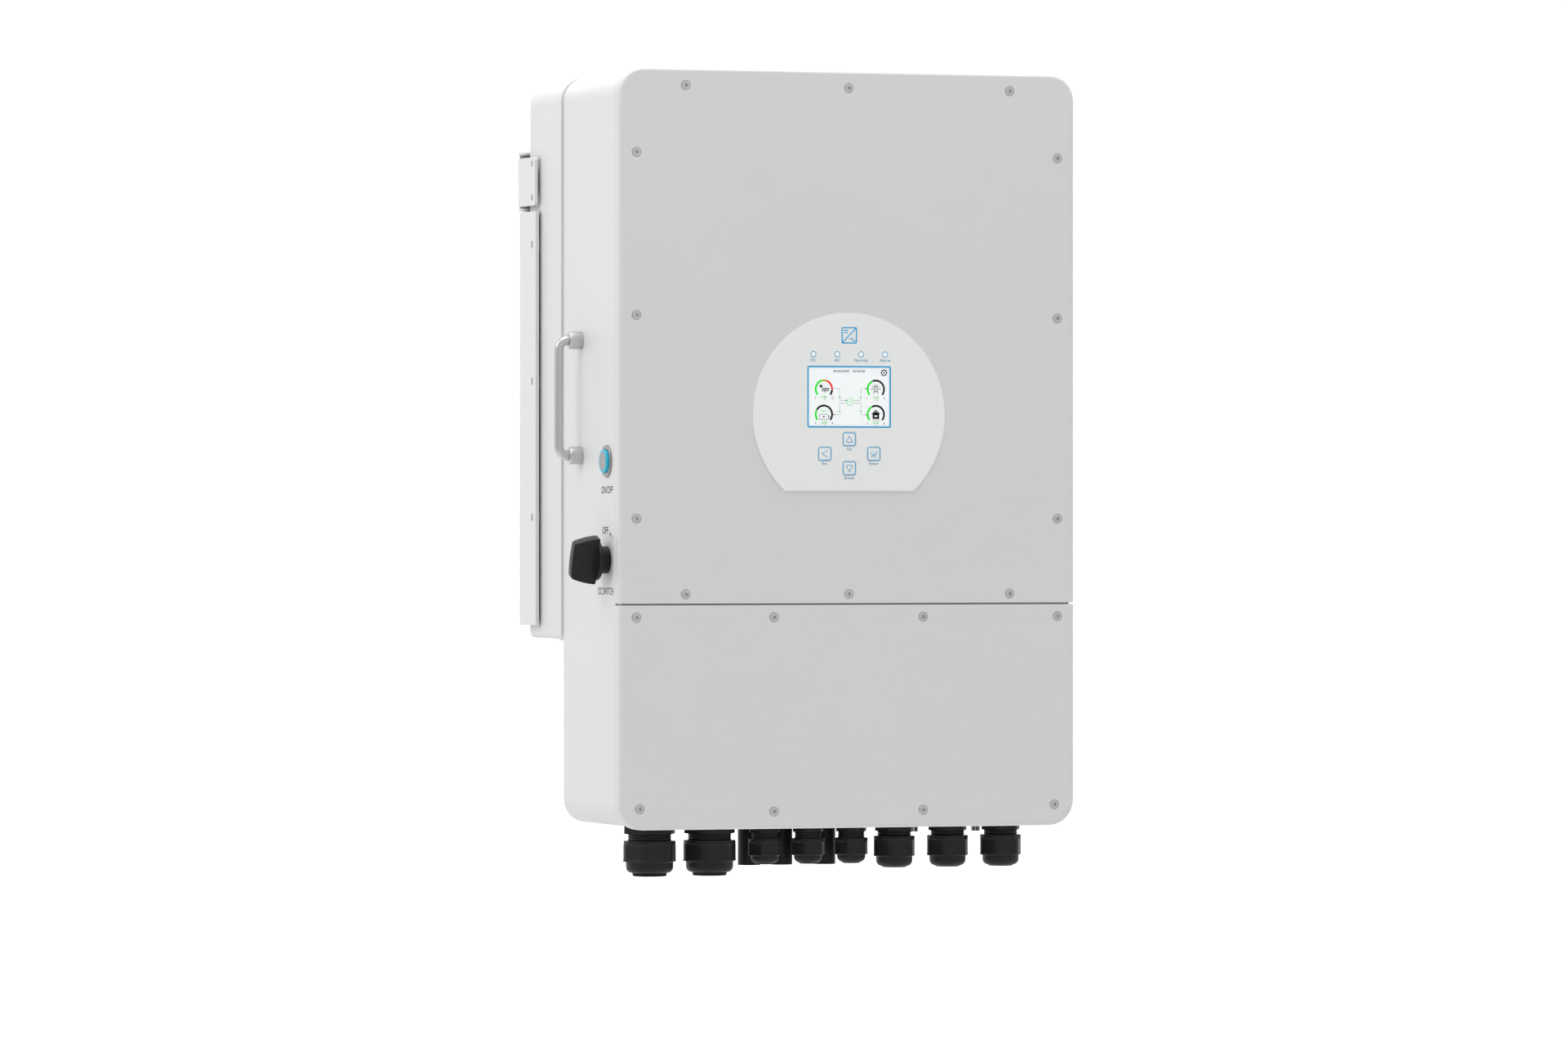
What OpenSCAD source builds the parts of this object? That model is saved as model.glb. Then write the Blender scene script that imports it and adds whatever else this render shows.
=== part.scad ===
// Wall-hung hybrid string inverter: white metal case, finned heat sink in a rear shroud, wiring
// compartment with cable glands, display panel, side switches, handles and wall bracket.
// Millimetres. X runs across the front, Y towards the wall, Z up. Y = 0 is the wall, and the
// origin is the centre of the wall bracket's hole pattern.
// Inside the modules, depth is measured from the front face and height from the cover's bottom
// edge; at_wall() carries them into the part's own frame.

/* [Front covers] */
// Width of the front covers
cover_w = 408; // [396:2:420]
// Height of both front covers together
cover_h = 638; // [630:2:650]
// Corner radius of the front covers
cover_r = 22; // [18:1:26]
// Depth of the folded skirt round the covers
skirt_d = 16; // [14:1:20]
// Sheet thickness of the covers
cover_t = 2.5; // [2:0.5:3]
// Radius of the fold between face and skirt
fold_r = 3; // [2.5:0.5:4]
// Height of the joint between lower and upper cover
split_z = 188.7; // [186:0.1:192]
// Gap at that joint
split_gap = 1.4; // [1:0.1:2]

/* [Case] */
// Depth from the front face to the back of the housing
housing_d = 157; // [150:1:160]
// How far the covers stand out past the housing on each side
overhang = 2; // [1.5:0.5:3]
// Wall thickness of the housing
wall = 3; // [2.5:0.5:4]
// Depth from the front face to the back of the rear shroud
shroud_d = 244; // [243:1:246]
// Height of the bottom of the rear shroud
shroud_z = 158; // [154:1:162]

/* [Wall mounting] */
// Depth from the front face to the wall
total_d = 260; // [260:1:262]
// Height of the wall bracket's centre line
bracket_z = 551; // [548:1:556]
// Distance between the bracket's outer hole columns
bolt_span_x = 340; // [300:10:360]
// Distance between the bracket's hole rows
bolt_span_z = 22; // [20:1:24]
// Radius of the bracket's holes, for M8 anchors
bolt_hole_r = 4.5; // [4.2:0.1:5]

/* [Handles] */
// Height of the upper handle foot
handle_top_z = 411.5; // [405:0.5:420]
// Distance between the handle's feet
handle_span = 97.5; // [90:0.5:110]
// Distance from the case side to the middle of the grip
handle_reach = 20; // [18:1:30]
// Radius of the handle rod
rod_r = 4; // [3.5:0.25:5]

/* [Controls] */
// Depth of the side controls' axes
control_y = 38.5; // [36:0.5:42]
// Height of the power button's axis
button_z = 308.7; // [300:0.1:315]
// Height of the isolator knob's axis
knob_z = 226; // [220:1:230]
// Angle of the knob's grip from upright, towards the front
knob_tilt = 20; // [0:1:30]
// Travel of the power button
button_travel = 2.5; // [2:0.1:3]

/* [Display] */
// Radius of the display overlay
overlay_r = 86; // [82:1:90]
// Height of the overlay's centre
overlay_z = 348; // [340:1:356]
// Height of the overlay's flat lower edge
overlay_flat_z = 284; // [282:1:288]
// Width of the display window
window_w = 74.8; // [70:0.2:78]
// Height of the display window
window_h = 51.8; // [48:0.2:54]
// Side of a key cap
key_w = 12.2; // [11:0.2:13]

/* [Hidden] */
$fn = 48;

housing_w = cover_w - 2 * overhang;
housing_top = cover_h - overhang;
housing_bottom = overhang;
housing_r = cover_r - overhang;
side_x = housing_w / 2;

// the front rim of the housing, on which gaskets and covers sit
rim_y = 4.5;
rim_t = 6;
rim_inset = 1.3;
opening_x = 178;
upper_opening = [207, 611];
lower_opening = [27, 169];
corner_fill_r = 8;

// cover screws, M4 countersunk: [x, height]
screw_r = 1.95;
screw_hole_r = 2.05;
head_r = 4.3;
head_h = 2.2;
screw_len = 10.3;
upper_screws = [
    for (x = [-145.3, 0, 145.3]) [x, 623.2],
    for (z = [566.7, 430.6, 260.4]) for (x = [-188.8, 188.8]) [x, z],
    for (x = [-145.3, 0, 145.3]) [x, 197],
];
lower_screws = [
    for (x = [-188.8, -66.9, 66.9, 188.8]) [x, 177.7],
    for (x = [-186, 186]) [x, 17.8],
    for (x = [-66.9, 66.9]) [x, 14.5],
];

// rear parts
shroud_proud = 1.7;
shroud_wall = 2;
shroud_x = side_x + shroud_proud;
shroud_top = housing_top;
shroud_flange_w = 15;
sink_x = 172;
sink_z = [206, 606];
sink_base = 8;
fin_z = [212, 600];
fin_y = 232;
fin_pitch = 10;
back_window = [160, 220, 592];
sink_screws = [for (x = [-166, 166]) for (z = [214, 310, 406, 502, 598]) [x, z]];
shroud_screws = [
    for (x = [-150, 0, 150]) [x, 627],
    for (x = [-150, 0, 150]) [x, 167],
    for (x = [-192.5, 192.5]) for (z = [280, 460]) [x, z],
];

// back plate and bracket
plate_x = 209;
plate_t = 3;
plate_y = [211, 259];
plate_z = [169, 524.5];
plate_slots_z = [261.7, 378.5, 496];
plate_hole_y = 221;
plate_pads = [for (x = [-120, 120]) for (z = [230, 350, 470]) [x, z]];
pad_seat_y = 254.5;
bracket_h = 51;
bracket_t = 2.5;
bracket_y = 249.3;
ear_y = 212.5;
ear_z = [529.5, 571];
ear_holes_z = [536.3, 565.3];
hook_x = 110;
hook_w = 40;
hook_t = 2.5;
hook_screws = [for (x = [-140, -80, 80, 140]) [x, 598]];

// glands: [thread r, collar AF, neck r, neck end, nut AF, hex end, dome end, mouth r, bore r, seal end]
LARGE = [16, 43, 17.8, -11, 42, -28.4, -38, 14.6, 10.5, -40.8];
MEDIUM = [12.5, 33, 13.8, -9.5, 33, -26.4, -35.2, 10.9, 8, -36];
SMALL = [10, 26, 10.8, -10.5, 26, -24.5, -31.2, 8, 5, -32];
large_x = [-157, -103.5];
small_x = [-54, -15, 24];
medium_x = [63, 111.5, 160];
gland_y = 60;
floor_z = housing_bottom;
floor_in = housing_bottom + wall;
locknut_h = 6;
collar_end = -5;
port_r = 9.5;
port_end = -33.5;
port_y = 86;
port_x = [-30, 9];
port_row = 30;
logger_x = -59;
earth_x = [90, 147];

// display
window_z = 363.2;
overlay_t = 0.8;
led_z = 399;
led_x = [-32.1, -10.7, 10.7, 32.1];
led_r = 2;
key_up_at = [0, 327.5];
key_down_at = [0, 303];
key_esc_at = [-22, 315.2];
key_enter_at = [22, 315.2];
keys = [key_up_at, key_down_at, key_esc_at, key_enter_at];
key_gap = 0.2;
key_pocket = 1.2;
stem_r = 2;
board_y = 5.6;
board_t = 1.6;
board_x = 52;
board_z = [288, 410];
board_posts = [for (x = [-46, 46]) for (z = [296, 402]) [x, z]];

// power button and isolator, radii about their axes
button_r = 9.6;
button_bore = 9.95;
button_barrel_r = 10.9;
ring_in = 6.8;
bezel_r = 13.5;
bezel_h = 1.6;
cap_face = 4.2;
barrel_len = 24;
shaft_r = 3;
shaft_bore = 3.05;
collar_r = 11.5;
collar_h = 8;
disc_r = 17.25;
knob_base = 8.3;
knob_disc = 11;
knob_tip = 32;
grip_base = 41;
grip_tip = 30;
grip_t = 11;

// handles
handle_y = 108;
handle_bend = 8;
ferrule_r = 7.5;
ferrule_h = 11.5;
handle_z = [handle_top_z - handle_span, handle_top_z];

// electronics
main_board_y = 139;
fan_x = 90;
fan_y = 200;
fan_size = 80;
fan_h = 25;
fan_bore = 38;
sliver = 0.01;

// ---- frames ----

// carries depth-from-front and height-from-cover-bottom into the part's frame
module at_wall() {
    translate([0, -total_d, -bracket_z]) children();
}

// drawings in the plane of the front: x across, y up, z into the depth
module upright() {
    rotate([90, 0, 0]) mirror([0, 0, 1]) children();
}

// drawings on the left side: x up, y into the depth, z outwards
module on_left(y, z) {
    translate([-side_x, y, z]) rotate([0, -90, 0]) children();
}

// drawings that hang from a level: z downwards
module hanging(x, y, z) {
    translate([x, y, z]) mirror([0, 0, 1]) children();
}

// ---- shared shapes ----

// rounded outline between two heights, with one radius for the top corners and one for the bottom
module outline(w, z0, z1, r_top, r_bottom) {
    translate([-w / 2, z0 + r_bottom]) square([w, z1 - z0 - r_top - r_bottom]);
    translate([-w / 2 + r_top, z1 - 2 * r_top]) square([w - 2 * r_top, 2 * r_top]);
    translate([-w / 2 + r_bottom, z0]) square([w - 2 * r_bottom, 2 * r_bottom]);
    for (s = [-1, 1]) {
        translate([s * (w / 2 - r_top), z1 - r_top]) circle(r_top, $fn = 96);
        translate([s * (w / 2 - r_bottom), z0 + r_bottom]) circle(r_bottom, $fn = 96);
    }
}

// section of a block's edge: width b, depth d, its far outer corner rounded by f
module edge_section(b, d, f) {
    square([b - f, d]);
    square([b, d - f]);
    translate([b - f, d - f]) circle(f, $fn = 96);
}

// block with rounded corners whose far edge, at depth d, is rounded all round by f
module round_block(w, z0, z1, r_top, r_bottom, d, f) {
    b = f + 1;
    linear_extrude(d) polygon([
        [-w / 2 + b, z0 + r_bottom], [-w / 2 + r_bottom, z0 + r_bottom], [-w / 2 + r_bottom, z0 + b],
        [w / 2 - r_bottom, z0 + b], [w / 2 - r_bottom, z0 + r_bottom], [w / 2 - b, z0 + r_bottom],
        [w / 2 - b, z1 - r_top], [w / 2 - r_top, z1 - r_top], [w / 2 - r_top, z1 - b],
        [-w / 2 + r_top, z1 - b], [-w / 2 + r_top, z1 - r_top], [-w / 2 + b, z1 - r_top],
    ]);
    for (s = [0, 1]) mirror([s, 0, 0]) {
        translate([w / 2 - b, z0 + r_bottom, 0]) rotate([90, 0, 0]) mirror([0, 0, 1])
            linear_extrude(z1 - z0 - r_top - r_bottom) edge_section(b, d, f);
        translate([w / 2 - r_top, z1 - r_top, 0]) rotate_extrude(angle = 90, $fn = 96)
            edge_section(r_top, d, f);
        translate([w / 2 - r_bottom, z0 + r_bottom, 0]) rotate([0, 0, -90])
            rotate_extrude(angle = 90, $fn = 96) edge_section(r_bottom, d, f);
    }
    translate([-w / 2 + r_top, z1 - b, 0]) rotate([90, 0, 90])
        linear_extrude(w - 2 * r_top) edge_section(b, d, f);
    translate([w / 2 - r_bottom, z0 + b, 0]) rotate([90, 0, -90])
        linear_extrude(w - 2 * r_bottom) edge_section(b, d, f);
}

// the same block with the rounded edge towards the front, from depth 0 to d
module round_front_block(w, z0, z1, r, d, f) {
    upright() translate([0, 0, d]) mirror([0, 0, 1]) round_block(w, z0, z1, r, r, d, f);
}

// rods at a list of places, along the depth, from depth y0 to y1
module rods(places, r, y0, y1) {
    for (p = places) translate([p[0], y0, p[1]]) rotate([-90, 0, 0]) cylinder(h = y1 - y0, r = r);
}

module slab(x0, x1, y0, y1, z0, z1) {
    translate([x0, y0, z0]) cube([x1 - x0, y1 - y0, z1 - z0]);
}

// rounded rectangle, centred; where r is half of a side, it is a slot with round ends
module pill(w, h, r) {
    if (w > 2 * r) square([w - 2 * r, h], center = true);
    if (h > 2 * r) square([w, h - 2 * r], center = true);
    for (x = w > 2 * r ? [-1, 1] : [0]) for (y = h > 2 * r ? [-1, 1] : [0])
        translate([x * (w / 2 - r), y * (h / 2 - r)]) circle(r);
}

function across_corners(af) = af / cos(30);

// ---- case ----

module housing() at_wall() color("gainsboro") difference() {
    union() {
        upright() translate([0, 0, skirt_d])
            round_block(housing_w, housing_bottom, housing_top, housing_r, housing_r,
                        housing_d - skirt_d, 2);
        upright() translate([0, 0, rim_y]) linear_extrude(skirt_d - rim_y)
            outline(housing_w - 2 * rim_inset, housing_bottom + rim_inset, housing_top - rim_inset,
                    housing_r - rim_inset, housing_r - rim_inset);
    }
    upright() translate([0, 0, rim_y + rim_t]) linear_extrude(housing_d - wall - rim_y - rim_t)
        outline(housing_w - 2 * wall, floor_in, housing_top - wall, housing_r - wall,
                housing_r - wall);
    upright() translate([0, 0, rim_y - 1]) linear_extrude(rim_t + 2) {
        outline(2 * opening_x, upper_opening[0], upper_opening[1], corner_fill_r, corner_fill_r);
        outline(2 * opening_x, lower_opening[0], lower_opening[1], corner_fill_r, corner_fill_r);
    }
    upright() translate([0, 0, housing_d - wall - 1]) linear_extrude(wall + 2)
        outline(2 * back_window[0], back_window[1], back_window[2], corner_fill_r, corner_fill_r);
    rods(upper_screws, screw_hole_r, rim_y - 1, rim_y + rim_t + 1);
    rods(lower_screws, screw_hole_r, rim_y - 1, rim_y + rim_t + 1);
    rods(sink_screws, 2.6, housing_d - wall - 1, housing_d + 1);
    rods(shroud_screws, 2.1, housing_d - wall - 1, housing_d + 1);
    on_left(control_y, button_z) translate([0, 0, -wall - 1]) cylinder(h = wall + 2, r = 11);
    on_left(control_y, knob_z) translate([0, 0, -wall - 1]) cylinder(h = wall + 2, r = 5);
    for (s = [0, 1]) mirror([s, 0, 0]) for (z = handle_z)
        on_left(handle_y, z) translate([0, 0, -wall - 1]) cylinder(h = wall + 2, r = 2.6);
    for (x = large_x) floor_hole(x, gland_y, LARGE[0] + 0.1);
    for (x = medium_x) floor_hole(x, gland_y, MEDIUM[0] + 0.1);
    for (x = small_x) floor_hole(x, gland_y, SMALL[0] + 0.1);
    for (x = port_x) for (y = [port_y, port_y + port_row]) floor_hole(x, y, 7.1);
    floor_hole(logger_x, port_y, 7.1);
    for (x = earth_x) floor_hole(x, port_y, 2.6);
}

module floor_hole(x, y, r) {
    translate([x, y, floor_z - 1]) cylinder(h = wall + 2, r = r);
}

// one cover: the whole pan, kept between two heights, with its countersunk holes
module cover(z0, z1, screws) {
    intersection() {
        difference() {
            round_front_block(cover_w, 0, cover_h, cover_r, skirt_d, fold_r);
            upright() translate([0, 0, cover_t]) linear_extrude(skirt_d)
                outline(cover_w - 2 * cover_t, cover_t, cover_h - cover_t, cover_r - cover_t,
                        cover_r - cover_t);
            rods(screws, screw_hole_r + 0.1, -1, cover_t + 1);
            for (p = screws) translate([p[0], 0, p[1]]) rotate([-90, 0, 0]) {
                translate([0, 0, -sliver]) cylinder(h = head_h + sliver, r1 = head_r + 0.25, r2 = 2.2);
            }
        }
        slab(-cover_w, cover_w, -1, skirt_d + 1, z0, z1);
    }
}

module upper_cover() at_wall() color("silver") difference() {
    cover(split_z + split_gap / 2, cover_h + 1, upper_screws);
    upright() translate([0, 0, -1]) linear_extrude(cover_t + 2)
        translate([0, window_z]) pill(window_w - 1, window_h - 1, 1);
    for (p = keys) upright() translate([p[0], p[1], -1])
        linear_extrude(key_pocket + 1) pill(key_w + 2 * key_gap, key_w + 2 * key_gap, 2.2);
    rods(keys, stem_r + 0.4, 0, cover_t + 1);
    rods([for (x = led_x) [x, led_z]], led_r, -1, cover_t + 1);
}

module lower_cover() at_wall() color("silver") cover(-1, split_z - split_gap / 2, lower_screws);

// flat gasket between a cover and the rim
module gasket(z0, z1, opening, r_top, r_bottom, screws) {
    difference() {
        upright() translate([0, 0, cover_t]) linear_extrude(rim_y - cover_t) difference() {
            outline(housing_w - 6, z0, z1, r_top, r_bottom);
            outline(2 * opening_x + 2, opening[0] - 1, opening[1] + 1, corner_fill_r, corner_fill_r);
        }
        rods(screws, 2.6, 0, skirt_d);
    }
}

module upper_gasket() at_wall() color("dimgray")
    gasket(190.4, housing_top - 3, upper_opening, housing_r - 3, 3, upper_screws);

module lower_gasket() at_wall() color("dimgray")
    gasket(housing_bottom + 3, 187, lower_opening, 3, housing_r - 3, lower_screws);

// M4 countersunk screw with a hexagon socket, its head's face just under the cover's face
module cover_screw() {
    difference() {
        union() {
            translate([0, 0, 0.1]) cylinder(h = head_h - 0.1, r1 = head_r, r2 = screw_r);
            cylinder(h = screw_len, r = screw_r);
        }
        translate([0, 0, -1]) cylinder(h = 2.5, r = across_corners(2.5) / 2, $fn = 6);
        translate([0, 0, -1]) cylinder(h = 1.1, r = 5);
    }
}

module cover_screw_set(places) {
    for (p = places) translate([p[0], 0, p[1]]) rotate([-90, 0, 0]) cover_screw();
}

module upper_cover_screws() at_wall() color("darkgray") cover_screw_set(upper_screws);

module lower_cover_screws() at_wall() color("darkgray") cover_screw_set(lower_screws);

// sheet between the electronics above and the wiring compartment below, with three cable holes
module divider_plate() at_wall() color("silver") difference() {
    slab(-side_x + wall + 0.3, side_x - wall - 0.3, rim_y + rim_t + 0.5, housing_d - wall - 0.3,
         186, 188);
    slab(-side_x, -side_x + 62, 0, 66, 180, 190);
    for (x = [-95, 0, 95]) translate([x, 95, 180]) linear_extrude(12) pill(60, 22, 11);
}

module heat_sink() at_wall() color("lightgray") difference() {
    union() {
        slab(-sink_x, sink_x, housing_d, housing_d + sink_base, sink_z[0], sink_z[1]);
        for (x = [-165:fin_pitch:165])
            slab(x - 1, x + 1, housing_d + sink_base - 1, fin_y, fin_z[0], fin_z[1]);
        rods(hook_screws, 7, housing_d + sink_base - 1, shroud_d - shroud_wall);
    }
    rods(sink_screws, 2.1, housing_d - 1, housing_d + 6);
    rods(hook_screws, 2.1, shroud_d - 16, shroud_d + 1);
}

// deep-drawn sheet cover over the heat sink: fan grilles below, outlet slots above
module rear_shroud() at_wall() color("whitesmoke") difference() {
    union() {
        difference() {
            upright() translate([0, 0, housing_d])
                round_block(2 * shroud_x, shroud_z, shroud_top, housing_r, 5,
                            shroud_d - housing_d, 2);
            upright() translate([0, 0, housing_d - 1])
                linear_extrude(shroud_d - housing_d - shroud_wall + 1)
                outline(2 * (shroud_x - shroud_wall), shroud_z + shroud_wall,
                        shroud_top - shroud_wall, housing_r - shroud_wall, 3);
        }
        shroud_flange();
        slab(-shroud_x + 5, shroud_x - 5, housing_d, housing_d + 21, shroud_z - 1.3, shroud_z + 1);
    }
    rods(shroud_screws, 2.1, housing_d - 1, housing_d + 4);
    rods(hook_screws, 2.6, shroud_d - 4, shroud_d + 1);
    rods(plate_pads, 2.1, shroud_d - 4, shroud_d + 1);
    for (s = [-1, 1]) translate([s * fan_x, fan_y, shroud_z - 2]) fan_grille();
    for (x = [-165:15:165]) for (y = [183, 216])
        translate([x, y, shroud_top - 4]) linear_extrude(8) pill(5, 24, 2.5);
}

// flange folded inwards against the back of the housing
module shroud_flange() {
    flange_w = shroud_wall + shroud_flange_w;
    upright() translate([0, 0, housing_d]) linear_extrude(2) difference() {
        outline(2 * shroud_x - 2, shroud_z + 1, shroud_top - 1, housing_r - 2, 4);
        outline(2 * (shroud_x - flange_w), shroud_z + flange_w, shroud_top - flange_w, 8, 3);
    }
}

// ring slots in front of one fan, kept apart by four spokes and a hub
module fan_grille() {
    for (r = [11:6.5:37]) difference() {
        cylinder(h = 6, r = r + 4, $fn = 96);
        translate([0, 0, -1]) cylinder(h = 8, r = r, $fn = 96);
        for (a = [45, 135]) rotate([0, 0, a]) cube([100, 3, 20], center = true);
    }
}

// pan head screw with the head at 0 and the shank along +z
module pan_screw(r, head, length) {
    difference() {
        union() {
            translate([0, 0, -2]) cylinder(h = 2, r = head);
            translate([0, 0, -sliver]) cylinder(h = length, r = r);
        }
        translate([0, 0, -3]) cylinder(h = 2.2, r = across_corners(3) / 2, $fn = 6);
    }
}

// screws inside the housing that hold the heat sink and the shroud's flange
module rear_shroud_screws() at_wall() color("darkgray") {
    for (p = sink_screws) translate([p[0], housing_d - wall, p[1]]) rotate([-90, 0, 0])
        pan_screw(2, 4.2, 8);
    for (p = shroud_screws) translate([p[0], housing_d - wall, p[1]]) rotate([-90, 0, 0])
        pan_screw(2, 3.8, 7);
}

// stand-off channel on the back: its sides are folded forwards past the shroud
module back_plate() at_wall() color("whitesmoke") difference() {
    union() {
        translate([0, 0, plate_z[0]]) linear_extrude(plate_z[1] - plate_z[0]) difference() {
            plan_outline(plate_x, plate_y[0], plate_y[1], 4);
            plan_outline(plate_x - plate_t, plate_y[0] - 1, plate_y[1] - plate_t, 1.5);
        }
        rods(plate_pads, 9, shroud_d, plate_y[1] - plate_t + 1);
    }
    rods(plate_pads, 2.6, shroud_d - 1, plate_y[1] + 1);
    rods(plate_pads, 5, pad_seat_y, plate_y[1] + 1);
    for (s = [0, 1]) mirror([s, 0, 0]) for (z = plate_slots_z)
        translate([-plate_x - 1, plate_hole_y, z]) rotate([0, 90, 0]) linear_extrude(plate_t + 2)
            pill(7, 4.4, 2.2);
}

// plan of a channel, open towards the front, with its two back corners rounded by r
module plan_outline(half, y0, y1, r) {
    translate([-half, y0]) square([2 * half, y1 - y0 - r]);
    translate([-half + r, y0]) square([2 * (half - r), y1 - y0]);
    for (s = [-1, 1]) translate([s * (half - r), y1 - r]) circle(r);
}

// two hooks on the unit's back that drop into the bracket's upper flange
module hang_hooks() at_wall() color("lightgray") difference() {
    union() {
        slab(-155, 155, shroud_d, shroud_d + 2, bracket_top() + 0.5, 612);
        for (s = [-1, 1]) {
            slab(s * hook_x - hook_w / 2, s * hook_x + hook_w / 2, shroud_d + 1, 255,
                 bracket_top(), bracket_top() + hook_t);
            slab(s * hook_x - hook_w / 2, s * hook_x + hook_w / 2, 255 - hook_t, 255,
                 bracket_top() - 14, bracket_top() + 1);
        }
    }
    rods(hook_screws, 2.6, shroud_d - 1, shroud_d + 4);
}

function bracket_top() = bracket_z + bracket_h / 2;

// screws on the back: through the hook strip into the heat sink, and through the back plate
module rear_fixing_screws() at_wall() color("darkgray") {
    for (p = hook_screws) translate([p[0], shroud_d + 2, p[1]]) rotate([90, 0, 0])
        pan_screw(2, 4, 12);
    for (p = plate_pads) translate([p[0], pad_seat_y, p[1]]) rotate([90, 0, 0])
        pan_screw(2, 4, 16);
}

// folded sheet channel on the wall, with ears that reach forwards beside the shroud
module wall_bracket() at_wall() color("whitesmoke") difference() {
    union() {
        slab(-plate_x + 1, plate_x - 1, total_d - bracket_t, total_d, bracket_z - bracket_h / 2,
             bracket_top());
        for (z = [bracket_z - bracket_h / 2, bracket_top() - bracket_t])
            bracket_flange(z);
        for (s = [0, 1]) mirror([s, 0, 0]) bracket_ear();
    }
    for (x = [-1, 1]) for (z = [-1, 1])
        rods([[x * bolt_span_x / 2, bracket_z + z * bolt_span_z / 2]], bolt_hole_r, 240,
             total_d + 1);
    for (s = [-1, 1])
        slab(s * hook_x - hook_w / 2 - 1, s * hook_x + hook_w / 2 + 1, 255 - hook_t - 0.5, 255.5,
             bracket_top() - 5, bracket_top() + 5);
}

// one level flange of the bracket, its front corners rounded
module bracket_flange(z) {
    r = 5;
    translate([0, 0, z]) linear_extrude(bracket_t) {
        translate([-plate_x, bracket_y + r]) square([2 * plate_x, total_d - bracket_y - r]);
        translate([-plate_x + r, bracket_y]) square([2 * (plate_x - r), r + 1]);
        for (s = [-1, 1]) translate([s * (plate_x - r), bracket_y + r]) circle(r);
    }
}

module bracket_ear() {
    mid = (ear_y + total_d) / 2;
    depth = total_d - ear_y;
    height = ear_z[1] - ear_z[0];
    translate([-plate_x, mid, (ear_z[0] + ear_z[1]) / 2]) rotate([0, 90, 0]) difference() {
        union() {
            linear_extrude(bracket_t) pill(height, depth, 3);
            translate([-height / 2, 0, 0]) cube([height, depth / 2, bracket_t]);
        }
        for (z = ear_holes_z) translate([(ear_z[0] + ear_z[1]) / 2 - z, plate_hole_y - mid, -1])
            linear_extrude(bracket_t + 2) pill(6, 4.4, 2.2);
    }
}

// ---- cooling ----

module fan_frames() at_wall() color("dimgray") for (s = [-1, 1])
    translate([s * fan_x, fan_y, shroud_z + shroud_wall]) difference() {
        union() {
            difference() {
                linear_extrude(fan_h) pill(fan_size, fan_size, 4);
                translate([0, 0, -1]) cylinder(h = fan_h + 2, r = fan_bore, $fn = 96);
            }
            translate([0, 0, fan_h - 3]) cylinder(h = 3, r = 15);
            for (a = [30:120:270]) rotate([0, 0, a]) translate([10, -2, fan_h - 3])
                cube([fan_bore - 9, 4, 3]);
            translate([0, 0, 8]) cylinder(h = fan_h - 8, r = 2);
        }
        for (x = [-1, 1]) for (y = [-1, 1]) translate([x * 35.75, y * 35.75, -1])
            cylinder(h = fan_h + 2, r = 2.15);
    }

// impeller: a hub that turns on the frame's stub, with seven pitched blades
module fan_rotor() {
    hub_r = 16;
    hub_z = [2, fan_h - 4];
    difference() {
        union() {
            translate([0, 0, hub_z[0]]) cylinder(h = hub_z[1] - hub_z[0], r = hub_r);
            intersection() {
                for (k = [0:6]) rotate([0, 0, k * 360 / 7]) translate([hub_r - 3, 0, 12])
                    rotate([38, 0, 0]) translate([0, -9, -0.75]) cube([30, 18, 1.5]);
                translate([0, 0, hub_z[0]]) cylinder(h = hub_z[1] - hub_z[0], r = 36.5, $fn = 96);
            }
        }
        translate([0, 0, 7.5]) cylinder(h = fan_h, r = 2.05);
        translate([0, 0, hub_z[1] - 12]) difference() {
            cylinder(h = 13, r = hub_r - 2);
            translate([0, 0, -1]) cylinder(h = 15, r = 5);
        }
    }
}

module fan_rotor_left() at_wall() color("dimgray")
    translate([-fan_x, fan_y, shroud_z + shroud_wall]) fan_rotor();

module fan_rotor_right() at_wall() color("dimgray")
    translate([fan_x, fan_y, shroud_z + shroud_wall]) fan_rotor();

// ---- display ----

// printed film on the cover: a disc with a flat lower edge
module display_overlay() at_wall() color("whitesmoke") difference() {
    upright() translate([0, 0, -overlay_t]) linear_extrude(overlay_t) difference() {
        translate([0, overlay_z]) circle(overlay_r, $fn = 180);
        translate([-overlay_r, overlay_flat_z - overlay_r]) square([2 * overlay_r, overlay_r]);
        translate([0, window_z]) pill(window_w + 0.2, window_h + 0.2, 1.6);
        for (p = keys) translate(p) pill(key_w + 2 * key_gap, key_w + 2 * key_gap, 2.2);
        for (x = led_x) translate([x, led_z]) circle(led_r);
    }
}

module display_window() at_wall() color("lightblue") upright()
    translate([0, window_z, -overlay_t]) linear_extrude(overlay_t) pill(window_w, window_h, 1.5);

// liquid crystal panel: a nose that fills the cover's window, and a wider frame behind it
module display_module() at_wall() color("white") upright() translate([0, window_z, 0]) {
    translate([0, 0, 0.3]) linear_extrude(cover_t) pill(window_w - 1.6, window_h - 1.6, 0.8);
    translate([0, 0, cover_t]) linear_extrude(board_y - cover_t) pill(88, 62, 1);
}

module display_board() at_wall() color("seagreen") difference() {
    union() {
        slab(-board_x, board_x, board_y, board_y + board_t, board_z[0], board_z[1]);
        for (p = keys) translate([p[0], board_y - 0.4, p[1]]) rotate([-90, 0, 0])
            cylinder(h = 0.5, r = 3);
        slab(-30, 30, board_y + board_t - sliver, board_y + board_t + 6, 340, 352);
        slab(-12, 12, board_y + board_t - sliver, board_y + board_t + 2, 370, 394);
    }
    rods(board_posts, 1.6, 0, 20);
}

// hexagonal posts for the display board and the control board
module board_standoffs() at_wall() color("goldenrod") {
    for (p = board_posts) post(p, cover_t, board_y, 5);
    for (p = control_posts()) post(p, 63.6, main_board_y, 6);
}

function control_posts() = [for (x = [-130, 130]) for (z = [372, 478]) [x, z]];

module post(p, y0, y1, af) {
    translate([p[0], y0, p[1]]) rotate([-90, 0, 0])
        cylinder(h = y1 - y0, r = across_corners(af) / 2, $fn = 6);
}

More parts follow.
